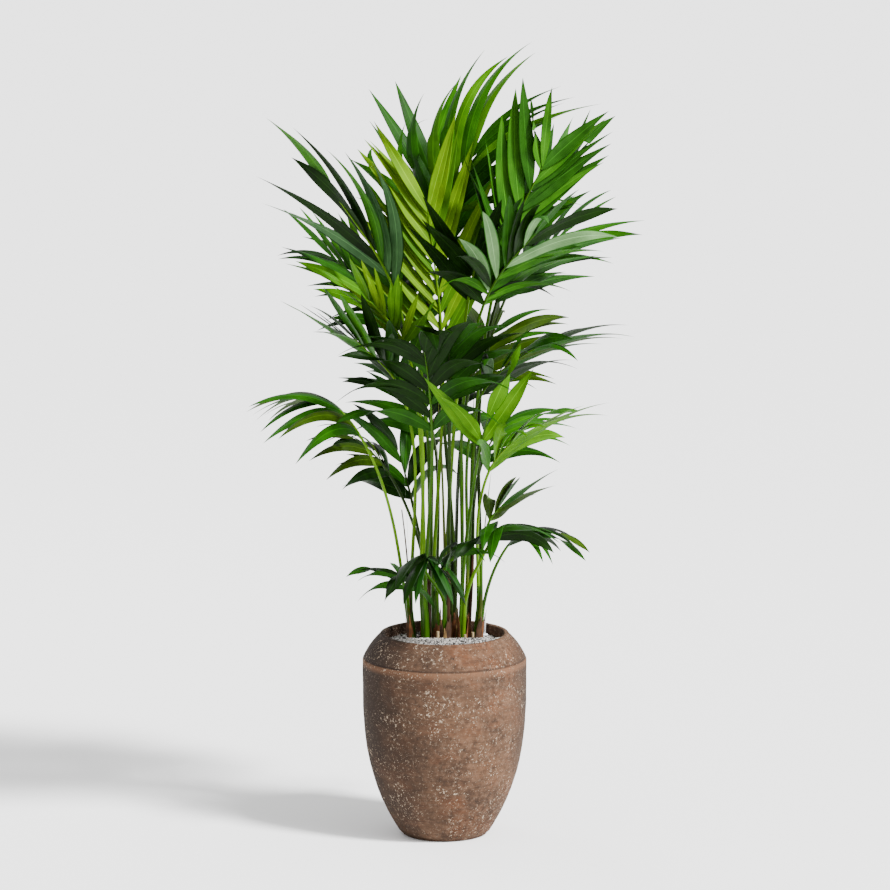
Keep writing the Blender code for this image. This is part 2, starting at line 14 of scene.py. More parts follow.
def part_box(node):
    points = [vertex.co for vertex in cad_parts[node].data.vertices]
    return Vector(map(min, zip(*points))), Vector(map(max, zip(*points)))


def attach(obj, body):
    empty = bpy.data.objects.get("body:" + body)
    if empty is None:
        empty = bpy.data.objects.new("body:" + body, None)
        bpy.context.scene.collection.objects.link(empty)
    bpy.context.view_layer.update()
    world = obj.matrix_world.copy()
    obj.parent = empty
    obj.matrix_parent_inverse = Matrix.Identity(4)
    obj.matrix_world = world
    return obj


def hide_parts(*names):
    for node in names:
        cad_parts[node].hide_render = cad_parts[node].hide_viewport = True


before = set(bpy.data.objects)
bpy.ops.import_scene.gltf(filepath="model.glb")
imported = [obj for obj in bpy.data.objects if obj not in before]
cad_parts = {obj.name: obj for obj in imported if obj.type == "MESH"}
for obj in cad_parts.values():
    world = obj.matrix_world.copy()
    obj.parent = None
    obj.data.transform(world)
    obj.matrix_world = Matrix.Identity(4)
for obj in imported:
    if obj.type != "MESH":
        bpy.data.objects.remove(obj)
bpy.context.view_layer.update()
up = Vector((0.0, 0.0, 1.0))
print("frame loaded,", len(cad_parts), "nodes")


# Small helpers

def compass(degrees):
    return Vector((math.cos(math.radians(degrees)), math.sin(math.radians(degrees)), 0.0))


def between(first, second, share):
    return first + (second - first) * share


def node(tree, kind, inputs=None, **settings):
    # Adds a node, sets it up and fills its inputs, by link where the value is a socket.
    made = tree.nodes.new(kind)
    for label, value in settings.items():
        setattr(made, label, value)
    for label, value in (inputs or {}).items():
        if isinstance(value, bpy.types.NodeSocket):
            tree.links.new(value, made.inputs[label])
        else:
            made.inputs[label].default_value = value
    return made


def feed(tree, kind, inputs=None, **settings):
    # The same, for a node whose first output is the one to use
    return node(tree, kind, inputs, **settings).outputs[0]


def plainPiece(name, corners, faces, edges=()):
    mesh = bpy.data.meshes.new(name)
    mesh.from_pydata([tuple(corner) for corner in corners], list(edges), faces)
    piece = bpy.data.objects.new(name, mesh)
    bpy.context.scene.collection.objects.link(piece)
    return piece


def setValues(piece, label, values, kind="FLOAT"):
    attribute = piece.data.attributes.new(label, kind, "POINT")
    attribute.data.foreach_set("vector" if kind == "FLOAT_VECTOR" else "value", values)


def keepPiece(piece, nodes=()):
    # A finished piece rides on the palm's one body and may stand for nodes of the frame.
    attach(piece, "root")
    if nodes:
        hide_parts(*nodes)
    return piece


def paint(piece, material):
    piece.data.materials.clear()
    piece.data.materials.append(material)
    piece.data.shade_smooth()


def ringFaces(rows, columns, start=0, closed=True, turned=False):
    # Faces of four corners between rows of corners that follow each other
    faces = []
    for row in range(rows - 1):
        for k in range(columns if closed else columns - 1):
            here, after = (start + row * columns + column for column in (k, (k + 1) % columns))
            face = (here, after, after + columns, here + columns)
            faces.append(face[:1] + face[:0:-1] if turned else face)
    return faces


def ringTube(rings):
    # Closed corners and faces round rings that follow each other, where a ring of one point is a tip
    corners = []
    starts = []
    for ring in rings:
        starts.append(len(corners))
        corners.extend(ring)
    faces = [tuple(reversed(range(len(rings[0]))))]
    for here, ahead, ring in zip(starts, starts[1:], rings[1:]):
        count = ahead - here
        for k in range(count):
            after = (k + 1) % count
            if len(ring) == 1:
                faces.append((here + k, here + after, ahead))
            else:
                faces.append((here + k, here + after, ahead + after, ahead + k))
    if len(rings[-1]) > 1:
        faces.append(tuple(range(starts[-1], len(corners))))
    return corners, faces


def lathePiece(name, outline, sides, cornerAt, material):
    # Turns an outline of radius and height, with both its ends on the axis.
    wall = outline[1:-1]
    corners = [cornerAt(radius, height, k) for radius, height in wall for k in range(sides)]
    low = len(corners)
    corners += [cornerAt(radius, height, 0) for radius, height in (outline[0], outline[-1])]
    faces = [(low, (k + 1) % sides, k) for k in range(sides)] + ringFaces(len(wall), sides)
    faces += [(low - sides + k, low - sides + (k + 1) % sides, low + 1) for k in range(sides)]
    piece = plainPiece(name, corners, faces)
    paint(piece, material)
    return piece


def joinShapes(shapes):
    # One list of corners and one of faces, out of several of each
    corners, faces = [], []
    for newCorners, newFaces in shapes:
        faces.extend(tuple(len(corners) + k for k in face) for face in newFaces)
        corners.extend(newCorners)
    return corners, faces


# Materials

def newMaterial(name, roughness, specular=0.5):
    material = bpy.data.materials.new(name)
    material.use_nodes = True
    shader = material.node_tree.nodes["Principled BSDF"]
    shader.inputs["Roughness"].default_value = roughness
    shader.inputs["Specular IOR Level"].default_value = specular
    return material, material.node_tree, shader


def objectPlace(tree, scale=(1.0, 1.0, 1.0)):
    place = node(tree, "ShaderNodeTexCoord")
    return feed(tree, "ShaderNodeMapping", {"Vector": place.outputs["Object"], "Scale": scale})


def noiseValue(tree, place, scale, detail=3.0, roughness=0.55):
    return feed(tree, "ShaderNodeTexNoise", {
        "Vector": place, "Scale": scale, "Detail": detail, "Roughness": roughness,
    })


def stretchValue(tree, value, low, high, toLow=0.0, toHigh=1.0):
    return feed(tree, "ShaderNodeMapRange", {
        "Value": value, "From Min": low, "From Max": high, "To Min": toLow, "To Max": toHigh,
    })


def mathValue(tree, operation, first, second=0.0):
    return feed(tree, "ShaderNodeMath", {0: first, 1: second}, operation=operation)


def times(tree, first, second):
    return mathValue(tree, "MULTIPLY", first, second)


def mixColour(tree, share, first, second):
    # Colours are given as three numbers or come from another mix.
    made = node(tree, "ShaderNodeMix", {0: share}, data_type="RGBA", blend_type="MIX")
    for slotNumber, colour in ((6, first), (7, second)):
        if isinstance(colour, bpy.types.NodeSocket):
            tree.links.new(colour, made.inputs[slotNumber])
        else:
            made.inputs[slotNumber].default_value = (*colour, 1.0)
    return made.outputs[2]


def addBump(tree, shader, height, strength, distance):
    bump = feed(tree, "ShaderNodeBump", {"Height": height, "Strength": strength, "Distance": distance})
    tree.links.new(bump, shader.inputs["Normal"])


def mottledMaterial(name, look, colour, shade, roughness):
    # Two tones in fine streaks or grain, with broader blotches and a relief where the look has them
    material, tree, shader = newMaterial(name, roughness, look["specular"])
    fine = noiseValue(tree, objectPlace(tree, (1.0, 1.0, look["stretch"])), look["fine"], look["detail"])
    share = fine
    if "blotches" in look:
        broad = noiseValue(tree, objectPlace(tree), look["blotches"])
        share = mathValue(
            tree, "ADD", times(tree, fine, look["fineShare"]), times(tree, broad, 1.0 - look["fineShare"]),
        )
    tones = stretchValue(tree, share, *look["tones"])
    tree.links.new(mixColour(tree, tones, shade, colour), shader.inputs["Base Color"])
    if "bump" in look:
        addBump(tree, shader, fine, *look["bump"])
    return material


# Geometry Nodes

def geometryTree(name, sockets):
    tree = bpy.data.node_groups.new(name, "GeometryNodeTree")
    tree.interface.new_socket("Geometry", in_out="OUTPUT", socket_type="NodeSocketGeometry")
    for label, kind in {"Geometry": "Geometry", **sockets}.items():
        tree.interface.new_socket(label, in_out="INPUT", socket_type="NodeSocket" + kind)
    return tree, node(tree, "NodeGroupInput").outputs


def namedValue(tree, name, kind):
    return feed(tree, "GeometryNodeInputNamedAttribute", {"Name": name}, data_type=kind)


lowerFrom = 0.75  # A face whose "under" is over this lies on the lower side, away from the edges.


def dealFinishes(tree, shape, finishes):
    # Each tint has a finish for its upper side and one for its lower side.
    shape = feed(tree, "GeometryNodeRealizeInstances", {"Geometry": shape})
    tint = namedValue(tree, "tint", "INT")
    lower = feed(
        tree, "FunctionNodeCompare", {0: namedValue(tree, "under", "FLOAT"), 1: lowerFrom},
        data_type="FLOAT", operation="GREATER_THAN",
    )
    for number, (upperFinish, lowerFinish) in enumerate(finishes):
        mine = feed(tree, "FunctionNodeCompare", {2: tint, 3: number}, data_type="INT", operation="EQUAL")
        mineBelow = feed(tree, "FunctionNodeBooleanMath", {0: mine, 1: lower}, operation="AND")
        for selection, finish in ((mine, upperFinish), (mineBelow, lowerFinish)):
            inputs = {"Geometry": shape, "Selection": selection, "Material": finish}
            shape = feed(tree, "GeometryNodeSetMaterial", inputs)
    node(tree, "NodeGroupOutput", {"Geometry": shape})


def sweepTree(name, finishes):
    # Carries a closed section along each chain of points, turned by "upper" and scaled by "size".
    tree, inputs = geometryTree(name, {"Section": "Object"})
    chains = feed(tree, "GeometryNodeMeshToCurve", {"Mesh": inputs["Geometry"]})
    upper = namedValue(tree, "upper", "FLOAT_VECTOR")
    turned = feed(tree, "GeometryNodeSetCurveNormal", {"Curve": chains, "Normal": upper}, mode="FREE")
    section = node(tree, "GeometryNodeObjectInfo", {"Object": inputs["Section"]})
    outline = feed(tree, "GeometryNodeMeshToCurve", {"Mesh": section.outputs["Geometry"]})
    size = namedValue(tree, "size", "FLOAT")
    swept = feed(tree, "GeometryNodeCurveToMesh", {
        "Curve": turned, "Profile Curve": outline, "Scale": size, "Fill Caps": True,
    })
    dealFinishes(tree, feed(tree, "GeometryNodeSetShadeSmooth", {"Geometry": swept}), finishes)
    return tree


grainShape = {
    "least": (0.60, 0.60, 0.50), "most": (1.35, 1.20, 0.95), "turnSeed": 3, "stretchSeed": 5, "tintSeed": 7,
}


def scatterTree(name, finishes):
    # Lays grains on a surface, each with its own turn, stretch and tint.
    sockets = {"Spacing": "Float", "Density": "Float", "Grain": "Float", "Seed": "Int"}
    tree, inputs = geometryTree(name, sockets)
    spots = feed(tree, "GeometryNodeDistributePointsOnFaces", {
        "Mesh": inputs["Geometry"], "Distance Min": inputs["Spacing"], "Density Max": inputs["Density"],
        "Seed": inputs["Seed"],
    }, distribute_method="POISSON")
    grain = feed(tree, "GeometryNodeMeshIcoSphere", {"Radius": 0.5, "Subdivisions": 1})
    turn, stretch = (
        feed(tree, "FunctionNodeRandomValue", {0: least, 1: most, "Seed": seed}, data_type="FLOAT_VECTOR")
        for least, most, seed in (
            ((0.0,) * 3, (math.tau,) * 3, grainShape["turnSeed"]),
            (grainShape["least"], grainShape["most"], grainShape["stretchSeed"]),
        )
    )
    size = feed(tree, "ShaderNodeVectorMath", {0: stretch, "Scale": inputs["Grain"]}, operation="SCALE")
    laid = feed(tree, "GeometryNodeInstanceOnPoints", {
        "Points": spots, "Instance": grain, "Rotation": turn, "Scale": size,
    })
    pick = node(
        tree, "FunctionNodeRandomValue", {4: 0, 5: len(finishes) - 1, "Seed": grainShape["tintSeed"]},
        data_type="INT",
    )
    tinted = feed(
        tree, "GeometryNodeStoreNamedAttribute", {"Geometry": laid, "Name": "tint", "Value": pick.outputs[2]},
        data_type="INT", domain="INSTANCE",
    )
    dealFinishes(tree, tinted, finishes)
    return tree


def settle(piece, modifier):
    # Keeps what the modifier makes as the piece's plain mesh.
    depsgraph = bpy.context.evaluated_depsgraph_get()
    mesh = bpy.data.meshes.new_from_object(
        piece.evaluated_get(depsgraph), preserve_all_data_layers=True, depsgraph=depsgraph,
    )
    piece.modifiers.remove(modifier)
    piece.data = mesh


def grow(piece, tree, settings):
    modifier = piece.modifiers.new(tree.name, "NODES")
    modifier.node_group = tree
    for socket in tree.interface.items_tree:
        if socket.in_out == "INPUT" and socket.name in settings:
            modifier[socket.identifier] = settings[socket.name]
    settle(piece, modifier)
    print(piece.name, len(piece.data.polygons), "faces")
    return piece


def chainPiece(name, chains):
    # A chain is a list of points, each a place, its upper side, its size and its tint.
    places, uppers, sizes, tints = zip(*(point for chain in chains for point in chain))
    edges = []
    start = 0
    for chain in chains:
        edges.extend((k, k + 1) for k in range(start, start + len(chain) - 1))
        start += len(chain)
    piece = plainPiece(name, places, [], edges)
    setValues(piece, "upper", [value for upper in uppers for value in upper], "FLOAT_VECTOR")
    setValues(piece, "size", sizes)
    setValues(piece, "tint", tints, "INT")
    return piece


def sectionPiece(name, corners):
    # A closed outline of corners, each its height, its place across and whether it is on the lower side
    heights, across, under = zip(*corners)
    edges = [(k, (k + 1) % len(corners)) for k in range(len(corners))]
    piece = plainPiece(name, [(height, aside, 0.0) for height, aside in zip(heights, across)], [], edges)
    setValues(piece, "across", across)
    setValues(piece, "under", under)
    return piece


# The palm's plan. It is the rule that the solids follow, so every stalk and leaflet lies where its solid is.

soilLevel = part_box("growing_medium")[1].z
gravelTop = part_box("gravel")[1].z
seam = 0.0003

Stem = namedtuple("Stem", "place height lean")
stems = {
    "stem_left": Stem((-0.079, 0.035), 0.085, (-0.008, 0.000)),
    "stem_left_front": Stem((-0.045, 0.010), 0.105, (-0.005, -0.004)),
    "stem_left_back": Stem((-0.030, 0.082), 0.110, (-0.004, 0.006)),
    "stem_middle": Stem((-0.020, 0.045), 0.125, (-0.002, 0.000)),
    "stem_front": Stem((0.002, 0.010), 0.110, (0.001, -0.005)),
    "stem_back": Stem((0.021, 0.072), 0.120, (0.002, 0.005)),
    "stem_right_front": Stem((0.042, 0.034), 0.105, (0.004, -0.003)),
    "stem_right_back": Stem((0.056, 0.079), 0.115, (0.005, 0.005)),
    "stem_right": Stem((0.080, 0.047), 0.090, (0.008, 0.000)),
}
stemSize = {
    "top": 0.0105, "body": 0.0120, "flare": 0.0150, "flareHeight": 0.022, "flareMiddle": (0.4, 0.86),
    "halfTaper": 0.6, "leanPower": 1.5, "sides": 8,
}

Frond = namedtuple("Frond", "name stem facing knee tip pairs spread length width droop")
fronds = (
    Frond("frond_bright", "stem_middle", -86, (-0.005, 0.000, 1.200), (-0.040, 0.020, 1.535),
          9, 0.66, 0.325, 0.035, 0.12),
    Frond("frond_crest", "stem_back", 84, (0.000, 0.080, 1.430), (0.070, 0.100, 1.665),
          9, 0.85, 0.395, 0.038, 0.50),
    Frond("frond_upper_left", "stem_left_front", -118, (-0.120, -0.050, 1.345), (-0.270, -0.100, 1.600),
          9, 0.50, 0.365, 0.042, 0.25),
    Frond("frond_front_right", "stem_right_front", -54, (0.092, -0.110, 1.320), (0.218, -0.180, 1.505),
          7, 0.90, 0.280, 0.042, 0.60),
    Frond("frond_front_crown", "stem_front", -86, (0.056, -0.070, 1.325), (0.084, -0.150, 1.460),
          5, 0.62, 0.280, 0.044, 0.34),
    Frond("frond_upper_right", "stem_right_back", -70, (0.138, 0.020, 1.420), (0.236, 0.030, 1.640),
          5, 0.66, 0.300, 0.046, 0.14),
    Frond("frond_right_high", "stem_right", 44, (0.124, 0.060, 1.300), (0.275, 0.090, 1.570),
          8, 0.78, 0.300, 0.035, 0.36),
    Frond("frond_right_wide", "stem_right_back", 40, (0.150, 0.120, 1.310), (0.280, 0.170, 1.450),
          6, 0.90, 0.285, 0.036, 0.50),
    Frond("frond_left_high", "stem_left_back", 140, (-0.106, 0.060, 1.235), (-0.262, 0.100, 1.400),
          8, 0.85, 0.265, 0.037, 0.42),
    Frond("frond_left_wide", "stem_left", -140, (-0.105, -0.020, 1.100), (-0.215, -0.075, 1.235),
          6, 0.75, 0.280, 0.048, 0.15),
    Frond("frond_left_young", "stem_left_front", -130, (-0.095, -0.110, 1.225), (-0.182, -0.165, 1.345),
          4, 0.80, 0.200, 0.030, 0.20),
    Frond("frond_front_dark", "stem_left_front", -100, (-0.030, -0.120, 1.015), (-0.048, -0.205, 1.225),
          7, 0.90, 0.270, 0.045, 1.05),
    Frond("frond_front_middle", "stem_front", -80, (0.012, -0.095, 1.085), (0.010, -0.185, 1.235),
          5, 0.90, 0.250, 0.044, 0.95),
    Frond("frond_right_low", "stem_right_front", -40, (0.086, -0.045, 1.090), (0.240, -0.110, 1.230),
          6, 0.80, 0.280, 0.038, 0.58),
    Frond("frond_right_young", "stem_right_front", -68, (0.086, -0.150, 0.985), (0.106, -0.185, 1.070),
          3, 0.55, 0.265, 0.050, 0.12),
    Frond("frond_right_bright", "stem_right", -36, (0.105, -0.060, 0.905), (0.165, -0.085, 0.985),
          4, 0.75, 0.280, 0.042, 0.75),
    Frond("frond_left_arching", "stem_left", 176, (-0.202, -0.060, 0.995), (-0.285, -0.070, 1.080),
          6, 0.80, 0.285, 0.036, 1.40),
    Frond("frond_left_drooping", "stem_left_back", 160, (-0.130, 0.030, 0.880), (-0.222, 0.030, 0.975),
          5, 0.85, 0.195, 0.034, 1.00),
    Frond("frond_left_shaded", "stem_left_back", 130, (-0.080, 0.090, 0.810), (-0.118, 0.120, 0.935),
          5, 0.80, 0.215, 0.042, 0.80),
    Frond("frond_back_high", "stem_back", 96, (-0.006, 0.140, 1.410), (-0.034, 0.215, 1.650),
          8, 0.72, 0.300, 0.044, 0.30),
    Frond("frond_back_left", "stem_left_back", 118, (-0.075, 0.150, 1.215), (-0.160, 0.270, 1.390),
          8, 0.95, 0.260, 0.038, 0.60),
    Frond("frond_back_right", "stem_back", 66, (0.060, 0.160, 1.070), (0.120, 0.270, 1.200),
          7, 0.95, 0.260, 0.038, 0.66),
    Frond("frond_back_middle", "stem_middle", 102, (-0.025, 0.150, 0.950), (-0.065, 0.250, 1.060),
          6, 0.95, 0.250, 0.040, 0.75),
    Frond("frond_back_low", "stem_right_back", 52, (0.090, 0.140, 0.890), (0.150, 0.230, 0.980),
          5, 0.95, 0.235, 0.038, 0.80),
    Frond("frond_low_right", "stem_right", -40, (0.108, 0.030, 0.768), (0.142, 0.022, 0.812),
          3, 0.85, 0.185, 0.038, 0.50),
    Frond("frond_low_reaching", "stem_right", -20, (0.150, 0.050, 0.700), (0.186, 0.052, 0.732),
          2, 0.70, 0.225, 0.032, 1.35),
    Frond("frond_low_hanging", "stem_right_front", -70, (0.112, -0.060, 0.738), (0.132, -0.090, 0.775),
          3, 0.95, 0.200, 0.042, 1.40),
    Frond("frond_low_front", "stem_front", -90, (-0.048, -0.070, 0.672), (-0.042, -0.118, 0.706),
          3, 0.95, 0.190, 0.048, 1.90),
    Frond("frond_low_middle", "stem_middle", -66, (0.026, -0.045, 0.700), (0.040, -0.080, 0.735),
          3, 0.95, 0.155, 0.034, 1.30),
    Frond("frond_low_left", "stem_left", -120, (-0.094, -0.010, 0.606), (-0.112, -0.030, 0.650),
          3, 0.95, 0.150, 0.034, 1.20),
)
# Which way a frond's leaflets are drawn to the side as they bend
sweeps = {
    "frond_crest": 0.85, "frond_upper_left": -0.65, "frond_left_arching": -0.40, "frond_left_drooping": -0.30,
    "frond_upper_right": 0.15, "frond_right_wide": 0.25,
}
ribRule = {
    "footRadius": 0.0036, "kneeRadius": 0.0032, "tipRadius": 0.0020, "spacing": 0.0064, "steps": 4,
    "nodPerDroop": 0.35, "clearance": 0.0010,
}
bowTrials = [
    (aside, outward)
    for outward in (0.0, 0.018, -0.018, 0.036)
    for aside in (0.0, 0.014, -0.014, 0.028, -0.028, 0.042, -0.042, 0.056, -0.056)
]
leafRule = {
    "seed": 11, "rootWidth": 0.30, "outline": ((0.26, 0.92), (0.52, 0.96), (0.78, 0.60)), "thickness": 0.0108,
    "bendPower": 1.2, "bendSteps": 24, "twist": 0.80, "roll": math.radians(20.0),
    "openAtKnee": math.radians(56.0), "openAtTip": math.radians(21.0),
    "liftFlat": math.radians(16.0), "liftPerDroop": math.radians(20.0),
    "lengthShares": (0.90, 0.50, -0.66), "droopAtKnee": 1.2, "droopAtTip": 0.8, "jitter": 0.16,
    "liftJitter": 0.10, "levelLeast": 0.15, "freeFrom": 0.04, "clearance": 0.0010,
    "lowest": 0.545, "highest": 1.935,
}
# Turn in degrees, added droop and share of the length
leafTrials = (
    (0, 0.0, 1.0), (6, 0.08, 1.0), (-6, -0.08, 1.0), (12, 0.0, 0.96), (-12, 0.0, 0.96), (0, 0.25, 0.96),
    (0, -0.25, 0.94), (8, 0.5, 0.92), (-8, 0.5, 0.90), (10, 0.3, 0.86), (-10, 0.3, 0.86), (16, -0.2, 0.80),
    (-16, -0.2, 0.80), (20, 0.4, 0.80), (0, 0.8, 0.80), (0, 0.0, 0.62), (12, 0.5, 0.56), (-12, 0.5, 0.56),
)


def stemAxis(stem, height):
    lean = Vector((*stem.lean, 0.0)) * (max(height, 0.0) / stem.height) ** stemSize["leanPower"]
    return Vector((*stem.place, soilLevel + seam + height)) + lean


def stemRings(stem):
    low, narrowing = stemSize["flareMiddle"]
    levels = (
        (0.0, stemSize["flare"]), (stemSize["flareHeight"] * low, stemSize["flare"] * narrowing),
        (stemSize["flareHeight"], stemSize["body"]),
        (stem.height * stemSize["halfTaper"], (stemSize["body"] + stemSize["top"]) / 2),
        (stem.height, stemSize["top"]),
    )
    sides = stemSize["sides"]
    return [
        [stemAxis(stem, height) + compass(360.0 * k / sides) * radius for k in range(sides)]
        for height, radius in levels
    ]


def petioleFeet():
    # The lowest frond of a stem takes the side it goes to, and each higher one the nearest side left.
    feet = {}
    for stemName, stem in stems.items():
        top = stemAxis(stem, stem.height)
        carried = [frond for frond in fronds if frond.stem == stemName]
        carried.sort(key=lambda frond: frond.knee[2])
        ways = [Vector(frond.knee) - top for frond in carried]
        bearings = [math.degrees(math.atan2(way.y, way.x)) for way in ways]
        free = [bearings[0] + 360.0 * place / len(carried) for place in range(len(carried))]
        for frond, bearing in zip(carried, bearings):
            nearest = min(free, key=lambda way: abs((way - bearing + 180.0) % 360.0 - 180.0))
            free.remove(nearest)
            feet[frond.name] = top + compass(nearest) * ribRule["spacing"] + up * seam
    return feet


Rib = namedtuple("Rib", "petiole rachis left")


def makeRib(frond, foot, bow):
    knee = Vector(frond.knee)
    tip = Vector(frond.tip)
    rise = knee - foot
    reach = tip - knee
    turn = (rise.normalized() + reach.normalized()).normalized()
    start = (rise.normalized() + up).normalized()
    nod = (reach.normalized() - up * (ribRule["nodPerDroop"] * frond.droop)).normalized()
    aside, outward = bow
    away = Vector((rise.x, rise.y, 0.0)).normalized()
    bulge = up.cross(away) * aside + away * outward
    petiole = (foot, foot + start * (rise.length / 3) + bulge, knee - turn * (rise.length / 3) + bulge, knee)
    rachis = (knee, knee + turn * (reach.length / 3), tip - nod * (reach.length / 3), tip)
    return Rib(petiole, rachis, compass(frond.facing + 90.0))


def ribFrame(rib, place):
    # Place runs from -1 at the foot over 0 at the knee to 1 at the tip.
    a, b, c, d = rib.petiole if place < 0.0 else rib.rachis
    t = place % 1.0 if place < 1.0 else 1.0
    u = 1.0 - t
    point = a * u ** 3 + b * (3.0 * u * u * t) + c * (3.0 * u * t * t) + d * t ** 3
    along = up
    if place > -1.0:
        along = ((b - a) * (u * u) + (c - b) * (2.0 * u * t) + (d - c) * (t * t)).normalized()
    across = (rib.left - along * rib.left.dot(along)).normalized()
    return point, along, across, along.cross(across)


def ribRing(rib, place, swell=0.0):
    point, along, across, upper = ribFrame(rib, place)
    radius = ribRule["kneeRadius"] + swell
    if place < 0.0:
        radius -= (ribRule["footRadius"] - ribRule["kneeRadius"]) * place
    else:
        radius += (ribRule["tipRadius"] - ribRule["kneeRadius"]) * place
    turns = [compass(angle) for angle in (90.0, 210.0, 330.0)]
    return [point + across * (turn.x * radius) + upper * (turn.y * radius) for turn in turns]


def rootShare(frond):
    return leafRule["rootWidth"] * frond.width / (Vector(frond.tip) - Vector(frond.knee)).length


def pairPlace(frond, pair):
    return (1.0 - rootShare(frond)) * pair / (frond.pairs - 1)


def petioleRings(rib, swell=0.0):
    return [ribRing(rib, step / ribRule["steps"] - 1.0, swell) for step in range(ribRule["steps"])]


def rachisRings(frond, rib, swell=0.0):
    rings = []
    for pair in range(frond.pairs):
        start = pairPlace(frond, pair)
        rings.append(ribRing(rib, start, swell))
        rings.append(ribRing(rib, start + rootShare(frond), swell))
    return rings


def leafletRule(frond, side, pair, rng):
    place = pairPlace(frond, pair)
    base, first, second = leafRule["lengthShares"]
    jitter = leafRule["jitter"]
    opening = between(leafRule["openAtKnee"], leafRule["openAtTip"], place)
    opening = max(opening * frond.spread, leafRule["openAtTip"])
    droop = frond.droop * between(leafRule["droopAtKnee"], leafRule["droopAtTip"], place)
    lift = leafRule["liftFlat"] - leafRule["liftPerDroop"] * frond.droop
    return {
        "sweep": Vector((sweeps.get(frond.name, 0.0), 0.0, 0.0)),
        "place": place + rootShare(frond) / 2,
        "side": side,
        "length": frond.length * (base + first * place + second * place * place)
        * rng.uniform(1.0 - jitter * 0.5, 1.0 + jitter * 0.5),
        "width": frond.width * rng.uniform(1.0 - jitter, 1.0 + jitter * 0.5),
        "open": opening * rng.uniform(1.0 - jitter * 0.5, 1.0 + jitter),
        "lift": lift + rng.uniform(-leafRule["liftJitter"], leafRule["liftJitter"]),
        "droop": droop * rng.uniform(1.0 - 2.0 * jitter, 1.0 + 2.0 * jitter),
    }


def leafletLine(rib, rule, trial, stations):
    # At each station, a share of the length: the blade's middle, the way across it and its upper side
    turn, sag, scale = trial
    steps = leafRule["bendSteps"]
    point, along, across, upper = ribFrame(rib, rule["place"])
    opening = rule["open"] + math.radians(turn)
    outward = across * (rule["side"] * math.cos(rule["lift"])) + upper * math.sin(rule["lift"])
    start = (along * math.cos(opening) + outward * math.sin(opening)).normalized()
    flat = (along - start * along.dot(start)).normalized()
    flat.rotate(Quaternion(start, -leafRule["roll"] * rule["side"]))
    droop = max(rule["droop"] + sag, 0.0)
    stepLength = rule["length"] * scale / steps
    line = []
    for step in range(steps + 1):
        share = step / steps
        bend = share ** leafRule["bendPower"]
        heading = (start + (rule["sweep"] - up * droop) * bend).normalized()
        while len(line) < len(stations) and stations[len(line)] < share + 0.5 / steps:
            wide = flat
            level = up.cross(heading)
            if level.length > leafRule["levelLeast"]:
                level = level.normalized() * math.copysign(1.0, level.dot(flat))
                wide = flat.lerp(level, leafRule["twist"] * share)
            wide = (wide - heading * wide.dot(heading)).normalized()
            face = wide.cross(heading) * rule["side"]
            line.append((point.copy(), face.cross(heading), face))
        point = point + heading * stepLength
    return line


def leafletSpace(rib, rule, trial, swell=0.0):
    # The solid's blade, which tests whether a leaflet has room
    outline = ((leafRule["freeFrom"], leafRule["rootWidth"]),) + leafRule["outline"]
    line = leafletLine(rib, rule, trial, [share for share, width in outline] + [1.0])
    depth = leafRule["thickness"] * rule["length"] / 2 + swell
    rings = []
    for (middle, across, face), (share, width) in zip(line, outline):
        half = across * (rule["width"] * width / 2 + swell)
        rings.append([middle + face * depth + half, middle + face * depth - half, middle - face * depth])
    rings.append([line[-1][0] + (line[-1][0] - line[-2][0]).normalized() * swell])
    return shapeOf(ringTube(rings))


def shapeOf(solid):
    corners, faces = solid
    low = Vector([min(corner[k] for corner in corners) for k in range(3)])
    high = Vector([max(corner[k] for corner in corners) for k in range(3)])
    return low, high, BVHTree.FromPolygons(corners, faces)


def meets(shape, taken, skip=None):
    low, high, tree = shape
    for owner, (otherLow, otherHigh, otherTree) in taken:
        apart = any(low[k] > otherHigh[k] or high[k] < otherLow[k] for k in range(3))
        if owner != skip and not apart and tree.overlap(otherTree):
            return True
    return False


def planRibs(taken):
    feet = petioleFeet()
    ribs = {}
    for frond in fronds:
        for bow in bowTrials:
            rib = makeRib(frond, feet[frond.name], bow)
            rings = petioleRings(rib, ribRule["clearance"]) + rachisRings(frond, rib, ribRule["clearance"])
            if not meets(shapeOf(ringTube(rings)), taken):
                break
        ribs[frond.name] = rib
        taken.append(("stalk", shapeOf(ringTube(petioleRings(rib)))))
        taken.append((frond.name, shapeOf(ringTube(petioleRings(rib)[-1:] + rachisRings(frond, rib)))))
    return ribs


def planLeaflets(ribs, taken):
    kept = {}
    for number, frond in enumerate(fronds):
        rib = ribs[frond.name]
        rng = random.Random(leafRule["seed"] * 1000 + number)
        kept[frond.name] = []
        for pair in range(frond.pairs):
            for side in (1, -1):
                rule = leafletRule(frond, side, pair, rng)
                for trial in leafTrials:
                    space = leafletSpace(rib, rule, trial, leafRule["clearance"])
                    if space[0].z < leafRule["lowest"] or space[1].z > leafRule["highest"]:
                        continue
                    if not meets(space, taken, frond.name):
                        kept[frond.name].append((rule, trial))
                        taken.append(("leaflet", leafletSpace(rib, rule, trial)))
                        break
    return kept


taken = [(name, shapeOf(ringTube(stemRings(stem)))) for name, stem in stems.items()]
ribs = planRibs(taken)
leafPlan = planLeaflets(ribs, taken)
print("plan made:", sum(len(found) for found in leafPlan.values()), "leaflets")

# Finer leaflets that the solids leave out: narrow ones between the pairs, where there is room
finer = {
    "seed": 23, "width": 0.66, "length": 0.92,
    "turns": ((0, 0.0, 1.0), (5, 0.15, 0.95), (-5, -0.15, 0.95), (9, 0.4, 0.9), (-9, 0.4, 0.85)),
}


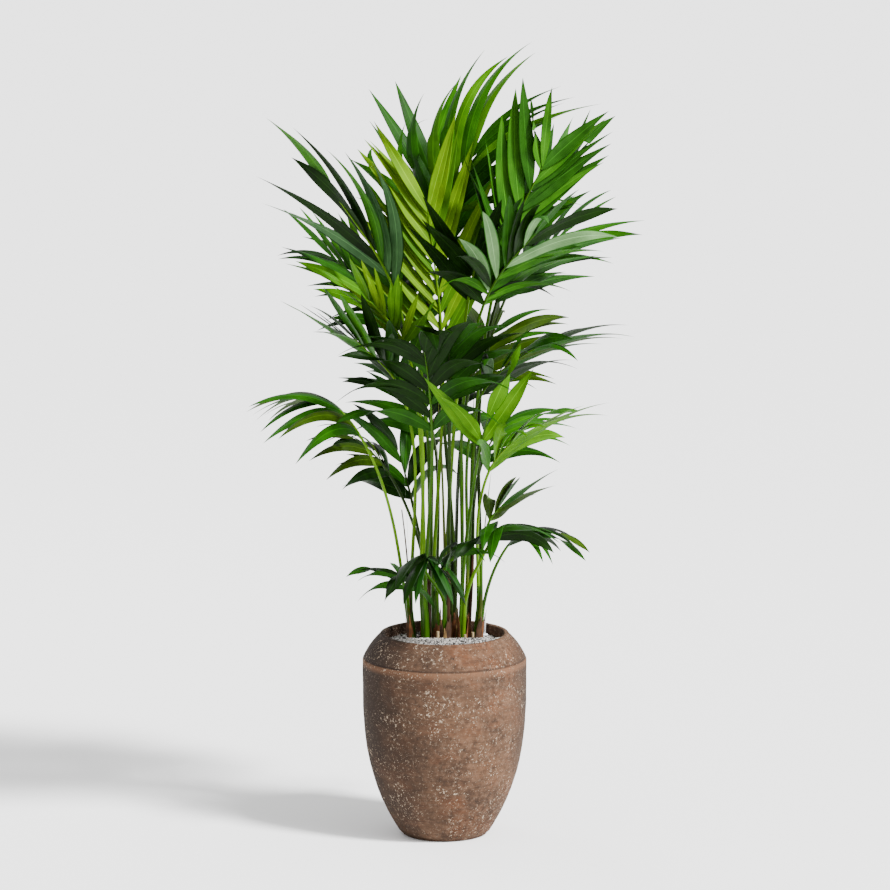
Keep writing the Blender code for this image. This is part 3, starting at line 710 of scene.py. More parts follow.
def planFinerLeaflets(ribs, taken):
    added = 0
    for number, frond in enumerate(fronds):
        rng = random.Random(finer["seed"] * 1000 + number)
        for gap in range(2 * frond.pairs - 1):
            for side in (1, -1):
                rule = leafletRule(frond, side, (gap + 0.5) / 2, rng)
                rule["width"] *= finer["width"]
                rule["length"] *= finer["length"]
                for trial in finer["turns"]:
                    space = leafletSpace(ribs[frond.name], rule, trial)
                    inside = space[0].z > leafRule["lowest"] and space[1].z < leafRule["highest"]
                    if inside and not meets(space, taken, frond.name):
                        leafPlan[frond.name].append((rule, trial))
                        taken.append(("leaflet", space))
                        added += 1
                        break
    return added


print("finer leaflets:", planFinerLeaflets(ribs, taken))


# Leaflets

leafLook = {
    "specular": 0.055, "patchScale": 22.0, "patchTones": (0.3, 0.7), "veins": 9.0, "veinTone": 0.16,
    "veinBump": 0.35, "veinHeight": 0.0004, "midrib": 0.07, "midribLift": 1.8, "midribLeast": 0.003,
    "glossier": 0.06, "duller": 0.08, "lowerDuller": 0.10,
    "columns": 13, "pleats": 5, "pleatDepth": 0.020, "fold": 0.17, "foldPower": 1.3,
    "thickness": 0.020, "edgeThickness": 0.25,
    "rootWidth": 0.17, "widestAt": 0.38, "widenPower": 0.9, "taperPower": 3.2, "tipWidth": 0.012,
    "wave": 0.16, "waveTurns": 5.0, "sway": 0.012,
    "flopShare": 0.16, "flop": 2.3, "flopFrom": 0.30, "flopPower": 1.4, "seed": 100,
}
# The upper side's colour and shade, the lower side's colour and shade, and the roughness
leafTints = {
    "bright": ((0.112, 0.235, 0.0), (0.058, 0.158, 0.0), (0.115, 0.225, 0.001), (0.064, 0.160, 0.0), 0.42),
    "lime": ((0.048, 0.160, 0.0), (0.022, 0.100, 0.0), (0.056, 0.160, 0.001), (0.030, 0.105, 0.001), 0.42),
    "fresh": ((0.024, 0.122, 0.0), (0.009, 0.068, 0.0), (0.028, 0.115, 0.003), (0.013, 0.070, 0.002), 0.38),
    "green": ((0.010, 0.066, 0.0), (0.004, 0.032, 0.0), (0.012, 0.064, 0.002), (0.006, 0.034, 0.001), 0.36),
    "deep": (
        (0.003, 0.018, 0.0001), (0.0014, 0.007, 0.0001), (0.0045, 0.02, 0.0004), (0.002, 0.009, 0.0002), 0.33,
    ),
    "olive": ((0.026, 0.058, 0.001), (0.011, 0.030, 0.0), (0.026, 0.058, 0.003), (0.014, 0.036, 0.001), 0.40),
    "cool": ((0.008, 0.046, 0.003), (0.003, 0.020, 0.002), (0.055, 0.130, 0.045), (0.030, 0.082, 0.026), 0.4),
    "silver": ((0.036, 0.130, 0.016), (0.014, 0.066, 0.008), (0.12, 0.225, 0.088), (0.068, 0.15, 0.05), 0.45),
}
# The piece that holds a frond's leaflets, its stalk's tint and the tints that its leaflets are dealt
leafGroups = ("bright", "crown", "middle", "back", "low")
frondLooks = {
    "frond_bright": ("bright", "lime", "bright bright bright lime"),
    "frond_crest": ("crown", "dark", "fresh fresh green lime"),
    "frond_upper_left": ("crown", "lime", "green deep cool fresh"),
    "frond_front_right": ("crown", "green", "green deep fresh silver"),
    "frond_front_crown": ("crown", "lime", "deep deep green"),
    "frond_upper_right": ("crown", "green", "fresh green"),
    "frond_right_high": ("crown", "dark", "fresh green silver"),
    "frond_right_wide": ("crown", "dark", "green silver fresh deep"),
    "frond_left_high": ("crown", "green", "fresh green deep lime"),
    "frond_left_wide": ("crown", "lime", "deep green fresh"),
    "frond_left_young": ("bright", "lime", "bright lime"),
    "frond_front_dark": ("middle", "green", "deep deep green"),
    "frond_front_middle": ("middle", "dark", "deep green"),
    "frond_right_low": ("middle", "green", "green olive deep"),
    "frond_right_young": ("bright", "green", "lime"),
    "frond_right_bright": ("bright", "lime", "lime fresh lime"),
    "frond_left_arching": ("middle", "lime", "olive green olive"),
    "frond_left_drooping": ("middle", "dark", "green olive deep"),
    "frond_left_shaded": ("middle", "dark", "deep green"),
    "frond_back_high": ("back", "dark", "fresh silver green"),
    "frond_back_left": ("back", "green", "green deep"),
    "frond_back_right": ("back", "dark", "green olive"),
    "frond_back_middle": ("back", "dark", "deep green"),
    "frond_back_low": ("back", "dark", "green fresh"),
    "frond_low_right": ("low", "green", "olive green"),
    "frond_low_reaching": ("low", "green", "green olive deep"),
    "frond_low_hanging": ("low", "lime", "green deep"),
    "frond_low_front": ("low", "green", "green deep cool"),
    "frond_low_middle": ("low", "green", "green deep"),
    "frond_low_left": ("low", "green", "green deep"),
}


def leafMaterial(name, colour, shade, roughness):
    # Patches along the blade, paler veins that follow it, and a midrib
    look = leafLook
    material, tree, shader = newMaterial(name, roughness, look["specular"])
    across = node(tree, "ShaderNodeAttribute", attribute_name="across").outputs["Fac"]
    patches = noiseValue(tree, objectPlace(tree), look["patchScale"])
    veins = mathValue(tree, "SINE", times(tree, across, look["veins"] * math.pi))
    share = stretchValue(tree, patches, *look["patchTones"])
    share = mathValue(tree, "ADD", share, times(tree, veins, look["veinTone"]))
    midrib = stretchValue(tree, mathValue(tree, "ABSOLUTE", across), look["midrib"], 0.0)
    pale = [min(1.0, channel * look["midribLift"] + look["midribLeast"]) for channel in colour]
    blade = mixColour(tree, midrib, mixColour(tree, share, shade, colour), pale)
    tree.links.new(blade, shader.inputs["Base Color"])
    glossy, dull = roughness - look["glossier"], roughness + look["duller"]
    gloss = stretchValue(tree, patches, *look["patchTones"], glossy, dull)
    tree.links.new(gloss, shader.inputs["Roughness"])
    addBump(tree, shader, veins, look["veinBump"], look["veinHeight"])
    return material


def leafSection():
    # The upper side from edge to edge, then the lower side back: a roof with pleats, thin at its edges
    look = leafLook
    corners = []
    for side, under in ((1, 0.0), (-1, 1.0)):
        places = [side * (2.0 * k / (look["columns"] - 1) - 1.0) for k in range(look["columns"])]
        for across in (places if side > 0 else places[1:-1]):
            middle = 1.0 - across ** 2
            height = -look["fold"] * abs(across) ** look["foldPower"]
            height += look["pleatDepth"] * math.cos(math.pi * look["pleats"] * across) * middle
            height += side * look["thickness"] * between(look["edgeThickness"], 1.0, middle)
            corners.append((height, across, under))
    return sectionPiece("leaf_section", corners)


def bladeShape(share):
    look = leafLook
    widening = math.sin(min(share / look["widestAt"], 1.0) * math.pi / 2) ** look["widenPower"]
    width = between(look["rootWidth"], 1.0, widening)
    return max(width * (1.0 - share ** look["taperPower"]), look["tipWidth"])


def leafletChain(frond, rule, trial, rng):
    # The solid's own line at every step, with a slight wave and sway, and some blades that turn over
    look = leafLook
    steps = leafRule["bendSteps"]
    line = leafletLine(ribs[frond.name], rule, trial, [k / steps for k in range(steps + 1)])
    wave = look["wave"] * rng.uniform(-1.0, 1.0)
    phase = rng.uniform(0.0, math.tau)
    sway = look["sway"] * rule["length"] * rng.uniform(-1.0, 1.0)
    tint = list(leafTints).index(rng.choice(frondLooks[frond.name][2].split()))
    flop = look["flop"] * rng.choice((-1.0, 1.0)) if rng.random() < look["flopShare"] else 0.0
    chain = []
    for number, (point, across, face) in enumerate(line):
        share = number / steps
        late = max(0.0, share - look["flopFrom"]) / (1.0 - look["flopFrom"])
        turn = wave * math.sin(phase + look["waveTurns"] * share) * share + flop * late ** look["flopPower"]
        turned = face.copy()
        turned.rotate(Quaternion(across.cross(face), turn))
        place = point + across * (sway * math.sin(math.pi * share))
        chain.append((place, turned, rule["width"] / 2 * bladeShape(share), tint))
    return chain


def makeLeaflets():
    finishes = []
    for name, (upperColour, upperShade, lowerColour, lowerShade, roughness) in leafTints.items():
        upper = leafMaterial("leaf_" + name, upperColour, upperShade, roughness)
        duller = roughness + leafLook["lowerDuller"]
        finishes.append((upper, leafMaterial("leaf_" + name + "_below", lowerColour, lowerShade, duller)))
    tree = sweepTree("pleatedLeaflets", finishes)
    section = leafSection()
    for number, group in enumerate(leafGroups):
        rng = random.Random(leafLook["seed"] + number)
        members = [frond for frond in fronds if frondLooks[frond.name][0] == group]
        chains = [
            leafletChain(frond, rule, trial, rng) for frond in members for rule, trial in leafPlan[frond.name]
        ]
        piece = grow(chainPiece("leaflets_" + group, chains), tree, {"Section": section})
        keepPiece(piece, [frond.name for frond in members])
    bpy.data.objects.remove(section)


makeLeaflets()
print("leaflets grown")


# Stalks and ribs, each from the soil through its stem to its tip

stalkLook = {
    "soilRadius": 0.0062, "footRadius": 0.0050, "kneeRadius": 0.0037, "tipRadius": 0.0011,
    "sides": 12, "flat": 0.72, "stemSteps": 8, "petioleSteps": 26, "rachisSteps": 26, "sunk": 0.006,
    "bundle": 0.80, "darkFoot": 0.14, "seed": 19,
}
stalkFinish = {
    "specular": 0.10, "fine": 260.0, "detail": 2.0, "stretch": 0.08, "blotches": 16.0, "fineShare": 0.4,
    "tones": (0.35, 0.65), "bump": (0.25, 0.0004),
}
# Neighbours in this list meet on one stalk, where its foot is darker than the rest.
stalkTints = {
    "lime": ((0.092, 0.200, 0.000), (0.044, 0.128, 0.000), 0.38),
    "green": ((0.034, 0.100, 0.000), (0.013, 0.052, 0.000), 0.38),
    "olive": ((0.060, 0.085, 0.004), (0.026, 0.042, 0.003), 0.45),
    "dark": ((0.016, 0.040, 0.002), (0.007, 0.018, 0.001), 0.42),
    "umber": ((0.060, 0.026, 0.011), (0.022, 0.011, 0.006), 0.60),
    "cream": ((0.420, 0.320, 0.180), (0.220, 0.150, 0.075), 0.75),
}


def stalkChain(frond, tint, footTint):
    look = stalkLook
    rib = ribs[frond.name]
    stem = stems[frond.stem]
    foot, along, across, upper = ribFrame(rib, -1.0)
    offset = foot - stemAxis(stem, stem.height)
    offset.z = 0.0
    chain = []
    for step in range(look["stemSteps"]):
        share = step / look["stemSteps"]
        place = stemAxis(stem, (stem.height + look["sunk"]) * share - look["sunk"])
        place += offset * between(look["bundle"], 1.0, share)
        chain.append((place, upper, between(look["soilRadius"], look["footRadius"], share), footTint))
    for step in range(look["petioleSteps"]):
        share = step / look["petioleSteps"]
        point, along, across, upper = ribFrame(rib, share - 1.0)
        size = between(look["footRadius"], look["kneeRadius"], share)
        chain.append((point, upper, size, footTint if share < look["darkFoot"] else tint))
    for step in range(look["rachisSteps"] + 1):
        share = step / look["rachisSteps"]
        point, along, across, upper = ribFrame(rib, share)
        chain.append((point, upper, between(look["kneeRadius"], look["tipRadius"], share), tint))
    return chain


# Spears: the unopened leaves, one from the middle of each stem
spearLook = {
    "tops": (0.98, 1.10, 1.04, 1.22, 1.02, 1.16, 0.94, 1.08, 0.90), "base": 0.0046, "footShare": 0.7,
    "middle": Vector((0.0, 0.045, 0.0)), "outward": 0.5, "lean": 0.022, "leanPower": 1.6, "thinning": 0.55,
    "pointed": 6.0, "point": 0.06, "steps": 30, "seed": 57, "tints": ("green", "dark", "umber", "olive"),
}


def spearChains(names):
    look = spearLook
    rng = random.Random(look["seed"])
    chains = []
    for stem, top in zip(stems.values(), look["tops"]):
        foot = stemAxis(stem, stem.height * look["footShare"])
        away = foot - look["middle"]
        away.z = 0.0
        away = away * look["outward"] + compass(rng.uniform(0.0, 360.0)) * look["lean"]
        tint = names.index(rng.choice(look["tints"]))
        chain = []
        for step in range(look["steps"] + 1):
            share = step / look["steps"]
            place = foot + up * ((top - foot.z) * share) + away * share ** look["leanPower"]
            size = look["base"] * (1.0 - look["thinning"] * share)
            chain.append((place, up, size * min(1.0, (1.0 - share) * look["pointed"] + look["point"]), tint))
        chains.append(chain)
    return chains


# Cut stubs of old stalks in the gravel, each a place and its rise over the gravel, and one thin dead stalk
oldStalks = {
    "stubs": ((-0.016, -0.012, 0.028), (0.050, 0.004, 0.017), (0.069, 0.012, 0.021)),
    "stubFrom": 0.002, "stubSize": 0.0034, "stubSteps": 4, "stubTint": "cream",
    "dead": ((-0.083, 0.030, 0.540), (-0.088, 0.022, 0.680), (-0.104, 0.008, 0.803)),
    "deadFoot": 0.0026, "deadTip": 0.0014, "deadSteps": 12, "deadTint": "umber",
}


def oldStalkChains(names):
    look = oldStalks
    back = compass(90.0)
    chains = []
    for x, y, rise in look["stubs"]:
        tall = up * (gravelTop - soilLevel + rise)
        low = Vector((x, y, soilLevel + look["stubFrom"]))
        chains.append([
            (low + tall * (k / look["stubSteps"]), back, look["stubSize"], names.index(look["stubTint"]))
            for k in range(look["stubSteps"] + 1)
        ])
    foot, bend, tip = (Vector(place) for place in look["dead"])
    tint = names.index(look["deadTint"])
    chain = []
    for k in range(look["deadSteps"] + 1):
        share = k / look["deadSteps"]
        place = foot.lerp(bend, share).lerp(bend.lerp(tip, share), share)
        chain.append((place, back, between(look["deadFoot"], look["deadTip"], share), tint))
    return chains + [chain]


def stalkSection():
    # Round below and flattened on the upper side
    corners = []
    for k in range(stalkLook["sides"]):
        turn = compass(360.0 * k / stalkLook["sides"])
        corners.append((turn.x * (stalkLook["flat"] if turn.x > 0.0 else 1.0), turn.y, 0.0))
    return sectionPiece("stalk_section", corners)


def makeStalks():
    names = list(stalkTints)
    finishes = [(mottledMaterial("stalk_" + name, stalkFinish, *stalkTints[name]),) * 2 for name in names]
    rng = random.Random(stalkLook["seed"])
    chains = []
    for frond in fronds:
        tint = names.index(frondLooks[frond.name][1])
        chains.append(stalkChain(frond, tint, tint + rng.choice((0, 1, 1))))
    chains += spearChains(names) + oldStalkChains(names)
    section = stalkSection()
    piece = grow(chainPiece("stalks_and_ribs", chains), sweepTree("stalks", finishes), {"Section": section})
    bpy.data.objects.remove(section)
    keepPiece(piece, [frond.name for frond in fronds])


makeStalks()
print("stalks grown")


# Stems: a fibrous core in each bundle of stalks, with papery sheaths round it

sheathLook = {
    "perStem": 5, "columns": 13, "rows": 12, "thickness": 0.0006, "grip": 0.0012, "sunk": 0.004,
    "flare": 0.0045, "leastFlare": 0.3, "shortest": 0.035, "tallest": 0.125,
    "narrowest": 60.0, "widest": 170.0, "narrowing": 0.35, "peak": (0.12, 0.88),
    "tears": 0.45, "tearPower": 3, "seed": 43,
    "innerTints": ("green", "green", "brown"), "outerTints": ("rust", "rust", "straw", "brown", "brown"),
}
coreLook = {
    "share": 0.62, "rows": 9, "sides": 20, "top": 0.96, "tip": 0.98, "taper": 0.25, "taperPower": 3,
    "sunk": 0.002,
}
sheathFinish = {
    "specular": 0.3, "fine": 900.0, "detail": 3.0, "stretch": 0.06, "blotches": 70.0, "fineShare": 0.5,
    "tones": (0.38, 0.62), "bump": (0.5, 0.0006),
}
sheathTints = {
    "rust": ((0.230, 0.088, 0.026), (0.085, 0.032, 0.012), 0.72),
    "straw": ((0.400, 0.250, 0.095), (0.190, 0.105, 0.040), 0.74),
    "brown": ((0.085, 0.040, 0.018), (0.032, 0.016, 0.009), 0.76),
    "green": ((0.060, 0.120, 0.006), (0.026, 0.058, 0.004), 0.50),
}


def stemRadius(height):
    flare = max(0.0, 1.0 - height / stemSize["flareHeight"]) ** 2
    return between(stemSize["body"], stemSize["flare"], flare)


def sheathShape(stem, rng):
    # A torn wrap: it clasps the stem below and stands off towards its ragged upper edge.
    look = sheathLook
    tall = min(rng.uniform(look["shortest"], look["tallest"]), stem.height)
    start = rng.uniform(0.0, 360.0)
    width = rng.uniform(look["narrowest"], look["widest"])
    stand = rng.uniform(look["leastFlare"], 1.0) * look["flare"]
    tears = [rng.uniform(0.0, look["tears"]) for k in range(look["columns"])]
    corners = []
    for row in range(look["rows"]):
        rise = row / (look["rows"] - 1)
        for column, tear in enumerate(tears):
            aside = column / (look["columns"] - 1)
            peak = math.sin(math.pi * between(*look["peak"], aside))
            height = tall * rise * peak * (1.0 - tear * rise ** look["tearPower"])
            share = height / tall
            turn = compass(start + width * (0.5 + (aside - 0.5) * (1.0 - look["narrowing"] * share)))
            radius = stemRadius(height) + look["grip"] + stand * share ** 2
            corners.append(stemAxis(stem, height - look["sunk"]) + turn * radius)
    return corners, ringFaces(look["rows"], look["columns"], closed=False)


def coreShape(stem):
    look = coreLook
    rings = []
    for row in range(look["rows"]):
        rise = row / (look["rows"] - 1)
        height = stem.height * look["top"] * rise
        radius = stemRadius(height) * look["share"] * (1.0 - look["taper"] * rise ** look["taperPower"])
        centre = stemAxis(stem, height - look["sunk"])
        rings.append([centre + compass(360.0 * k / look["sides"]) * radius for k in range(look["sides"])])
    return ringTube(rings + [[stemAxis(stem, stem.height * look["tip"])]])


def makeStems():
    look = sheathLook
    rng = random.Random(look["seed"])
    names = list(sheathTints)
    finishes = [mottledMaterial("sheath_" + name, sheathFinish, *sheathTints[name]) for name in names]
    shapes, tints = [], []
    for stem in stems.values():
        for layer in range(look["perStem"]):
            shapes.append(sheathShape(stem, rng))
            tint = rng.choice(look["outerTints"] if layer else look["innerTints"])
            tints.extend([names.index(tint)] * len(shapes[-1][1]))
    sheaths = plainPiece("papery_sheaths", *joinShapes(shapes))
    for material in finishes:
        sheaths.data.materials.append(material)
    sheaths.data.polygons.foreach_set("material_index", tints)
    sheaths.data.shade_smooth()
    solid = sheaths.modifiers.new("thickness", "SOLIDIFY")
    solid.thickness = look["thickness"]
    solid.offset = 1.0
    settle(sheaths, solid)
    keepPiece(sheaths)
    cores = plainPiece("stem_cores", *joinShapes(coreShape(stem) for stem in stems.values()))
    paint(cores, finishes[names.index("green")])
    keepPiece(cores, list(stems))


makeStems()
print("stems made")


# Planter

potLook = {
    "height": 0.500, "radius": 0.200, "foot": 0.105, "edgeRise": 0.005, "edgeRound": 0.008,
    "bellyTop": 0.400, "bellyPower": 2.85, "ledge": 0.440, "ledgeStep": 0.003, "ledgeRound": 0.006,
    "ledgeWidth": 0.0036, "grooveIn": 0.00375, "grooveRise": 0.0012, "bulge": 0.004, "rim": 0.157,
    "rimRound": 0.003, "mouth": 0.1455, "neck": 0.050, "wall": 0.017, "floor": 0.020,
    "innerRows": (0.75, 0.50, 0.25),
    "sides": 288, "bellySteps": 84, "shoulderSteps": 18, "neckSteps": 12,
    "lumps": 0.0006, "lumpScale": 26.0, "lumpDetail": (0.9, 2.0, 3),
    "grain": 0.00022, "grainScale": 210.0, "grainDetail": (0.8, 2.0, 2),
    "throwing": 0.00025, "throwingScale": Vector((5.0, 5.0, 320.0)), "plainFoot": 0.012, "plainInside": 0.006,
}
# Noise over the pot: its scale, detail and roughness, and how far it is squeezed in height
potNoise = {
    "clouds": (8.0, 4.0, 0.6, 1.0), "rust": (11.0, 5.0, 0.6, 1.3), "streaks": (15.0, 5.0, 0.65, 18.0),
    "mottle": (75.0, 6.0, 0.7, 1.0), "dark": (52.0, 5.0, 0.65, 1.0), "clusters": (12.0, 3.0, 0.65, 1.0),
    "flakes": (165.0, 7.0, 0.74, 1.0), "blots": (68.0, 8.0, 0.76, 1.0), "specks": (260.0, 4.0, 0.6, 1.0),
    "pits": (330.0, 5.0, 0.7, 1.0),
}
# Where a noise, a height or a place across starts and ends to count, and how much it counts at both ends
potRanges = {
    "clay": ("clouds", 0.36, 0.64), "rust": ("rust", 0.50, 0.68, 0.0, 0.70),
    "streaks": ("streaks", 0.46, 0.64, 0.0, 0.60), "mottle": ("mottle", 0.44, 0.66, 0.0, 0.50),
    "dark": ("dark", 0.58, 0.72, 0.0, 0.80), "patchy": ("clouds", 0.30, 0.50, 0.60, 1.0),
    # Painted shade down the left side and at the right edge, then a painted highlight in a band below the
    # ledge
    "paintedShadeLeft": ("aside", 0.04, -0.16, 0.0, 0.95), "paintedShadeRight": ("aside", 0.155, 0.20, 0.0, 0.75),
    "bandFoot": ("height", 0.420, 0.432), "bandTop": ("height", 0.441, 0.438),
    "lineFoot": ("height", 0.4385, 0.4405), "lineTop": ("height", 0.4460, 0.4425),
    "clusters": ("clusters", 0.48, 0.60, 0.15, 1.0), "flakes": ("flakes", 0.590, 0.610),
    "blots": ("blots", 0.612, 0.628), "specks": ("specks", 0.655, 0.685, 0.0, 0.75),
}
potTones = {
    "clay": (0.098, 0.051, 0.028), "clouded": (0.038, 0.021, 0.013), "rust": (0.115, 0.043, 0.018),
    "streaks": (0.028, 0.016, 0.011), "mottle": (0.165, 0.093, 0.056), "dark": (0.012, 0.008, 0.006),
    # Painted shade for the left side and right edge, a painted highlight for below the ledge, then a dark
    # line
    "shade": (0.022, 0.014, 0.010), "band": (0.165, 0.080, 0.042), "line": (0.016, 0.010, 0.008),
    "chips": (0.480, 0.375, 0.275),
}
potFinish = {
    # How strongly the painted highlight below the ledge, the dark line and the chips are laid on
    "roughness": 0.84, "specular": 0.14, "band": 0.50, "line": 0.50, "chips": 0.92,
    "chipRelief": 0.8, "streakRelief": 1.2, "bump": (0.7, 0.0012),
}


def bellyRadius(height):
    share = min(height / potLook["bellyTop"], 1.0)
    return between(potLook["foot"], potLook["radius"], 1.0 - (1.0 - share) ** potLook["bellyPower"])


def arcPoints(radius, height, wide, tall, turns):
    # A rounded edge about its centre, by turns in degrees from the outer side up
    angles = [math.radians(turn) for turn in turns]
    return [(radius + wide * math.cos(angle), height + tall * math.sin(angle)) for angle in angles]


def potOutline():
    # From the middle of the underside out, up the belly, over the shoulder and down the inner wall
    look = potLook
    edge, rise = look["edgeRound"], look["edgeRise"]
    outline = [(0.0, 0.0), (look["foot"] * 0.5, 0.0), (look["foot"] - edge, 0.0)]
    outline += arcPoints(look["foot"] - edge, rise, edge, rise, range(-72, 1, 18))
    ledge, step = look["ledge"], look["ledgeStep"]
    for k in range(1, look["bellySteps"] + 1):
        height = between(rise, ledge - look["ledgeRound"], k / look["bellySteps"])
        outline.append((bellyRadius(height), height))
    wide, soft = look["ledgeWidth"], look["ledgeRound"]
    outline += arcPoints(look["radius"] - wide, ledge - soft, wide, soft, range(20, 81, 20))
    outline.append((look["radius"] - look["grooveIn"], ledge + look["grooveRise"]))
    rim, top = look["rimRound"], look["height"] - look["rimRound"]
    for k in range(look["shoulderSteps"] + 1):
        share = k / look["shoulderSteps"]
        outline.append((
            between(look["radius"] - step, look["rim"], share) + look["bulge"] * math.sin(math.pi * share),
            between(ledge + step, top, share),
        ))
    outline += arcPoints(look["rim"] - rim, top, rim, rim, range(18, 91, 18))
    outline += arcPoints(look["mouth"] + rim, top, rim, rim, range(90, 181, 18))
    for k in range(1, look["neckSteps"] + 1):
        outline.append((look["mouth"], top - (look["neck"] - rim) * k / look["neckSteps"]))
    outline.append((look["radius"] - look["wall"], ledge - look["wall"]))
    for share in look["innerRows"]:
        height = look["bellyTop"] * share
        outline.append((bellyRadius(height) - look["wall"], height + look["wall"] / 3))
    return outline + [(look["foot"] - look["wall"], look["floor"]), (0.0, look["floor"])]


def potCorner(radius, height, k):
    # Lumps, fine grain and the marks of turning stand in or out, but not at the foot or inside.
    look = potLook
    angle = math.tau * k / look["sides"]
    inside = height <= look["height"] - look["neck"] and radius < bellyRadius(height) - look["plainInside"]
    if not inside:
        point = Vector((radius * math.cos(angle), radius * math.sin(angle), height))
        relief = noise.fractal(point * look["lumpScale"], *look["lumpDetail"]) * look["lumps"]
        relief += noise.fractal(point * look["grainScale"], *look["grainDetail"]) * look["grain"]
        relief += noise.noise(point * look["throwingScale"]) * look["throwing"]
        radius += relief * min(1.0, height / look["plainFoot"])
    return radius * math.cos(angle), radius * math.sin(angle), height


def potMaterial():
    # Brown ware with dark and rusty clouds, turned streaks and cream chips, with painted shade down its left
    # side and at its right edge, a painted highlight in a band below its ledge and a dark line above it
    material, tree, shader = newMaterial("weathered_ware_and_painted_light", potFinish["roughness"], potFinish["specular"])
    fields = {
        name: noiseValue(tree, objectPlace(tree, (1.0, 1.0, squeeze)), scale, detail, roughness)
        for name, (scale, detail, roughness, squeeze) in potNoise.items()
    }
    split = node(tree, "ShaderNodeSeparateXYZ", {"Vector": objectPlace(tree)})
    fields["aside"], fields["height"] = split.outputs["X"], split.outputs["Z"]
    part = {name: stretchValue(tree, fields[field], *ends) for name, (field, *ends) in potRanges.items()}
    chips = times(tree, mathValue(tree, "MAXIMUM", part["flakes"], part["blots"]), part["clusters"])
    chips = mathValue(tree, "MAXIMUM", chips, part["specks"])
    # Painted shade: down the left side in patches, and at the right edge
    shade = mathValue(tree, "MAXIMUM", times(tree, part["paintedShadeLeft"], part["patchy"]), part["paintedShadeRight"])
    # Painted highlight in a patchy band below the ledge
    band = times(tree, times(tree, part["bandFoot"], part["bandTop"]), part["patchy"])
    line = times(tree, times(tree, part["lineFoot"], part["lineTop"]), potFinish["line"])
    colour = mixColour(tree, part["clay"], potTones["clay"], potTones["clouded"])
    # Laid over the clay in turn, among them the painted shade and the painted highlight
    layers = {name: part[name] for name in ("rust", "streaks", "mottle", "dark")}
    layers.update(shade=shade, band=times(tree, band, potFinish["band"]), line=line)
    layers["chips"] = times(tree, chips, potFinish["chips"])
    for name, share in layers.items():
        colour = mixColour(tree, share, colour, potTones[name])
    tree.links.new(colour, shader.inputs["Base Color"])
    relief = mathValue(tree, "ADD", times(tree, chips, potFinish["chipRelief"]), fields["pits"])
    relief = mathValue(tree, "ADD", relief, times(tree, fields["streaks"], potFinish["streakRelief"]))
    addBump(tree, shader, relief, *potFinish["bump"])
    return material


pot = lathePiece("planter_wall", potOutline(), potLook["sides"], potCorner, potMaterial())
keepPiece(pot, ["pot"])
print("planter made")


# Filling: gravel round a patch of bare soil

patch = {"centre": (0.006, 0.058), "half": (0.068, 0.070), "mouth": 0.1455, "wallGap": 0.0006}
# The gravel is banked up towards the front of the pot, and rises in a few rows from the patch.
bed = {
    "sides": 96, "rows": 14, "patchSize": 0.97, "dip": 0.0022, "least": 0.3, "rowsUp": 3,
    "bank": 0.0185, "bankFrom": 0.025, "bankTo": -0.030, "lumps": 0.0012, "lumpScale": 60.0, "skirt": 0.0040,
}
soilBed = {
    "sides": 72, "rows": 22, "patchSize": 1.04, "rise": 0.0105, "lumps": 0.0024, "lumpScale": 70.0,
    "lumpDetail": (0.9, 2.0, 4), "edgeDrop": 0.004, "bottom": 0.002,
}
gravelLook = {"Spacing": 0.0036, "Density": 160000.0, "Grain": 0.0062, "Seed": 4}
crumbLook = {"Spacing": 0.0024, "Density": 120000.0, "Grain": 0.0036, "Seed": 9}
grainFinish = {
    "roughness": 0.80, "specular": 0.3, "fine": 700.0, "detail": 3.0, "stretch": 1.0, "tones": (0.35, 0.65),
    "bump": (0.4, 0.0005),
}
gravelTints = {
    "pale": ((0.400, 0.380, 0.360), (0.230, 0.218, 0.205)),
    "white": ((0.560, 0.540, 0.520), (0.360, 0.345, 0.330)),
    "grey": ((0.260, 0.245, 0.235), (0.130, 0.125, 0.120)),
    "chalk": ((0.460, 0.425, 0.385), (0.280, 0.255, 0.230)),
    "slate": ((0.050, 0.046, 0.044), (0.014, 0.013, 0.012)),
    "stone": ((0.320, 0.295, 0.270), (0.170, 0.156, 0.143)),
    "black": ((0.026, 0.023, 0.021), (0.008, 0.007, 0.007)),
}
# A darker grey for the bed under the grains, showing in the gaps between them
gravelBedTones = ((0.110, 0.100, 0.090), (0.035, 0.032, 0.030))
soilTints = {
    "dark": ((0.034, 0.020, 0.012), (0.008, 0.005, 0.004)),
    "bark": ((0.090, 0.045, 0.022), (0.030, 0.016, 0.009)),
    "black": ((0.014, 0.009, 0.006), (0.004, 0.003, 0.002)),
}


def grainMaterial(name, tones):
    return mottledMaterial(name, grainFinish, *tones, grainFinish["roughness"])


def patchPoint(angle, size, part=1, parts=1):
    # On the edge of the bare patch, or some parts of the way out to it
    return Vector((
        patch["centre"][0] + patch["half"][0] * size * math.cos(angle) * part / parts,
        patch["centre"][1] + patch["half"][1] * size * math.sin(angle) * part / parts, 0.0,
    ))


def bedPoint(row, k):
    # From the patch's edge to the pot's wall
    angle = math.tau * k / bed["sides"]
    wall = Vector((math.cos(angle), math.sin(angle), 0.0)) * (patch["mouth"] - patch["wallGap"])
    point = patchPoint(angle, bed["patchSize"]).lerp(wall, row / (bed["rows"] - 1))
    slope = min(1.0, bed["least"] + row / bed["rowsUp"])
    bank = min(1.0, max(0.0, (bed["bankFrom"] - point.y) / (bed["bankFrom"] - bed["bankTo"])))
    level = between(soilLevel, gravelTop - bed["dip"], slope) + bed["bank"] * bank * slope
    point.z = level + noise.noise(point * bed["lumpScale"]) * bed["lumps"] * slope
    return point


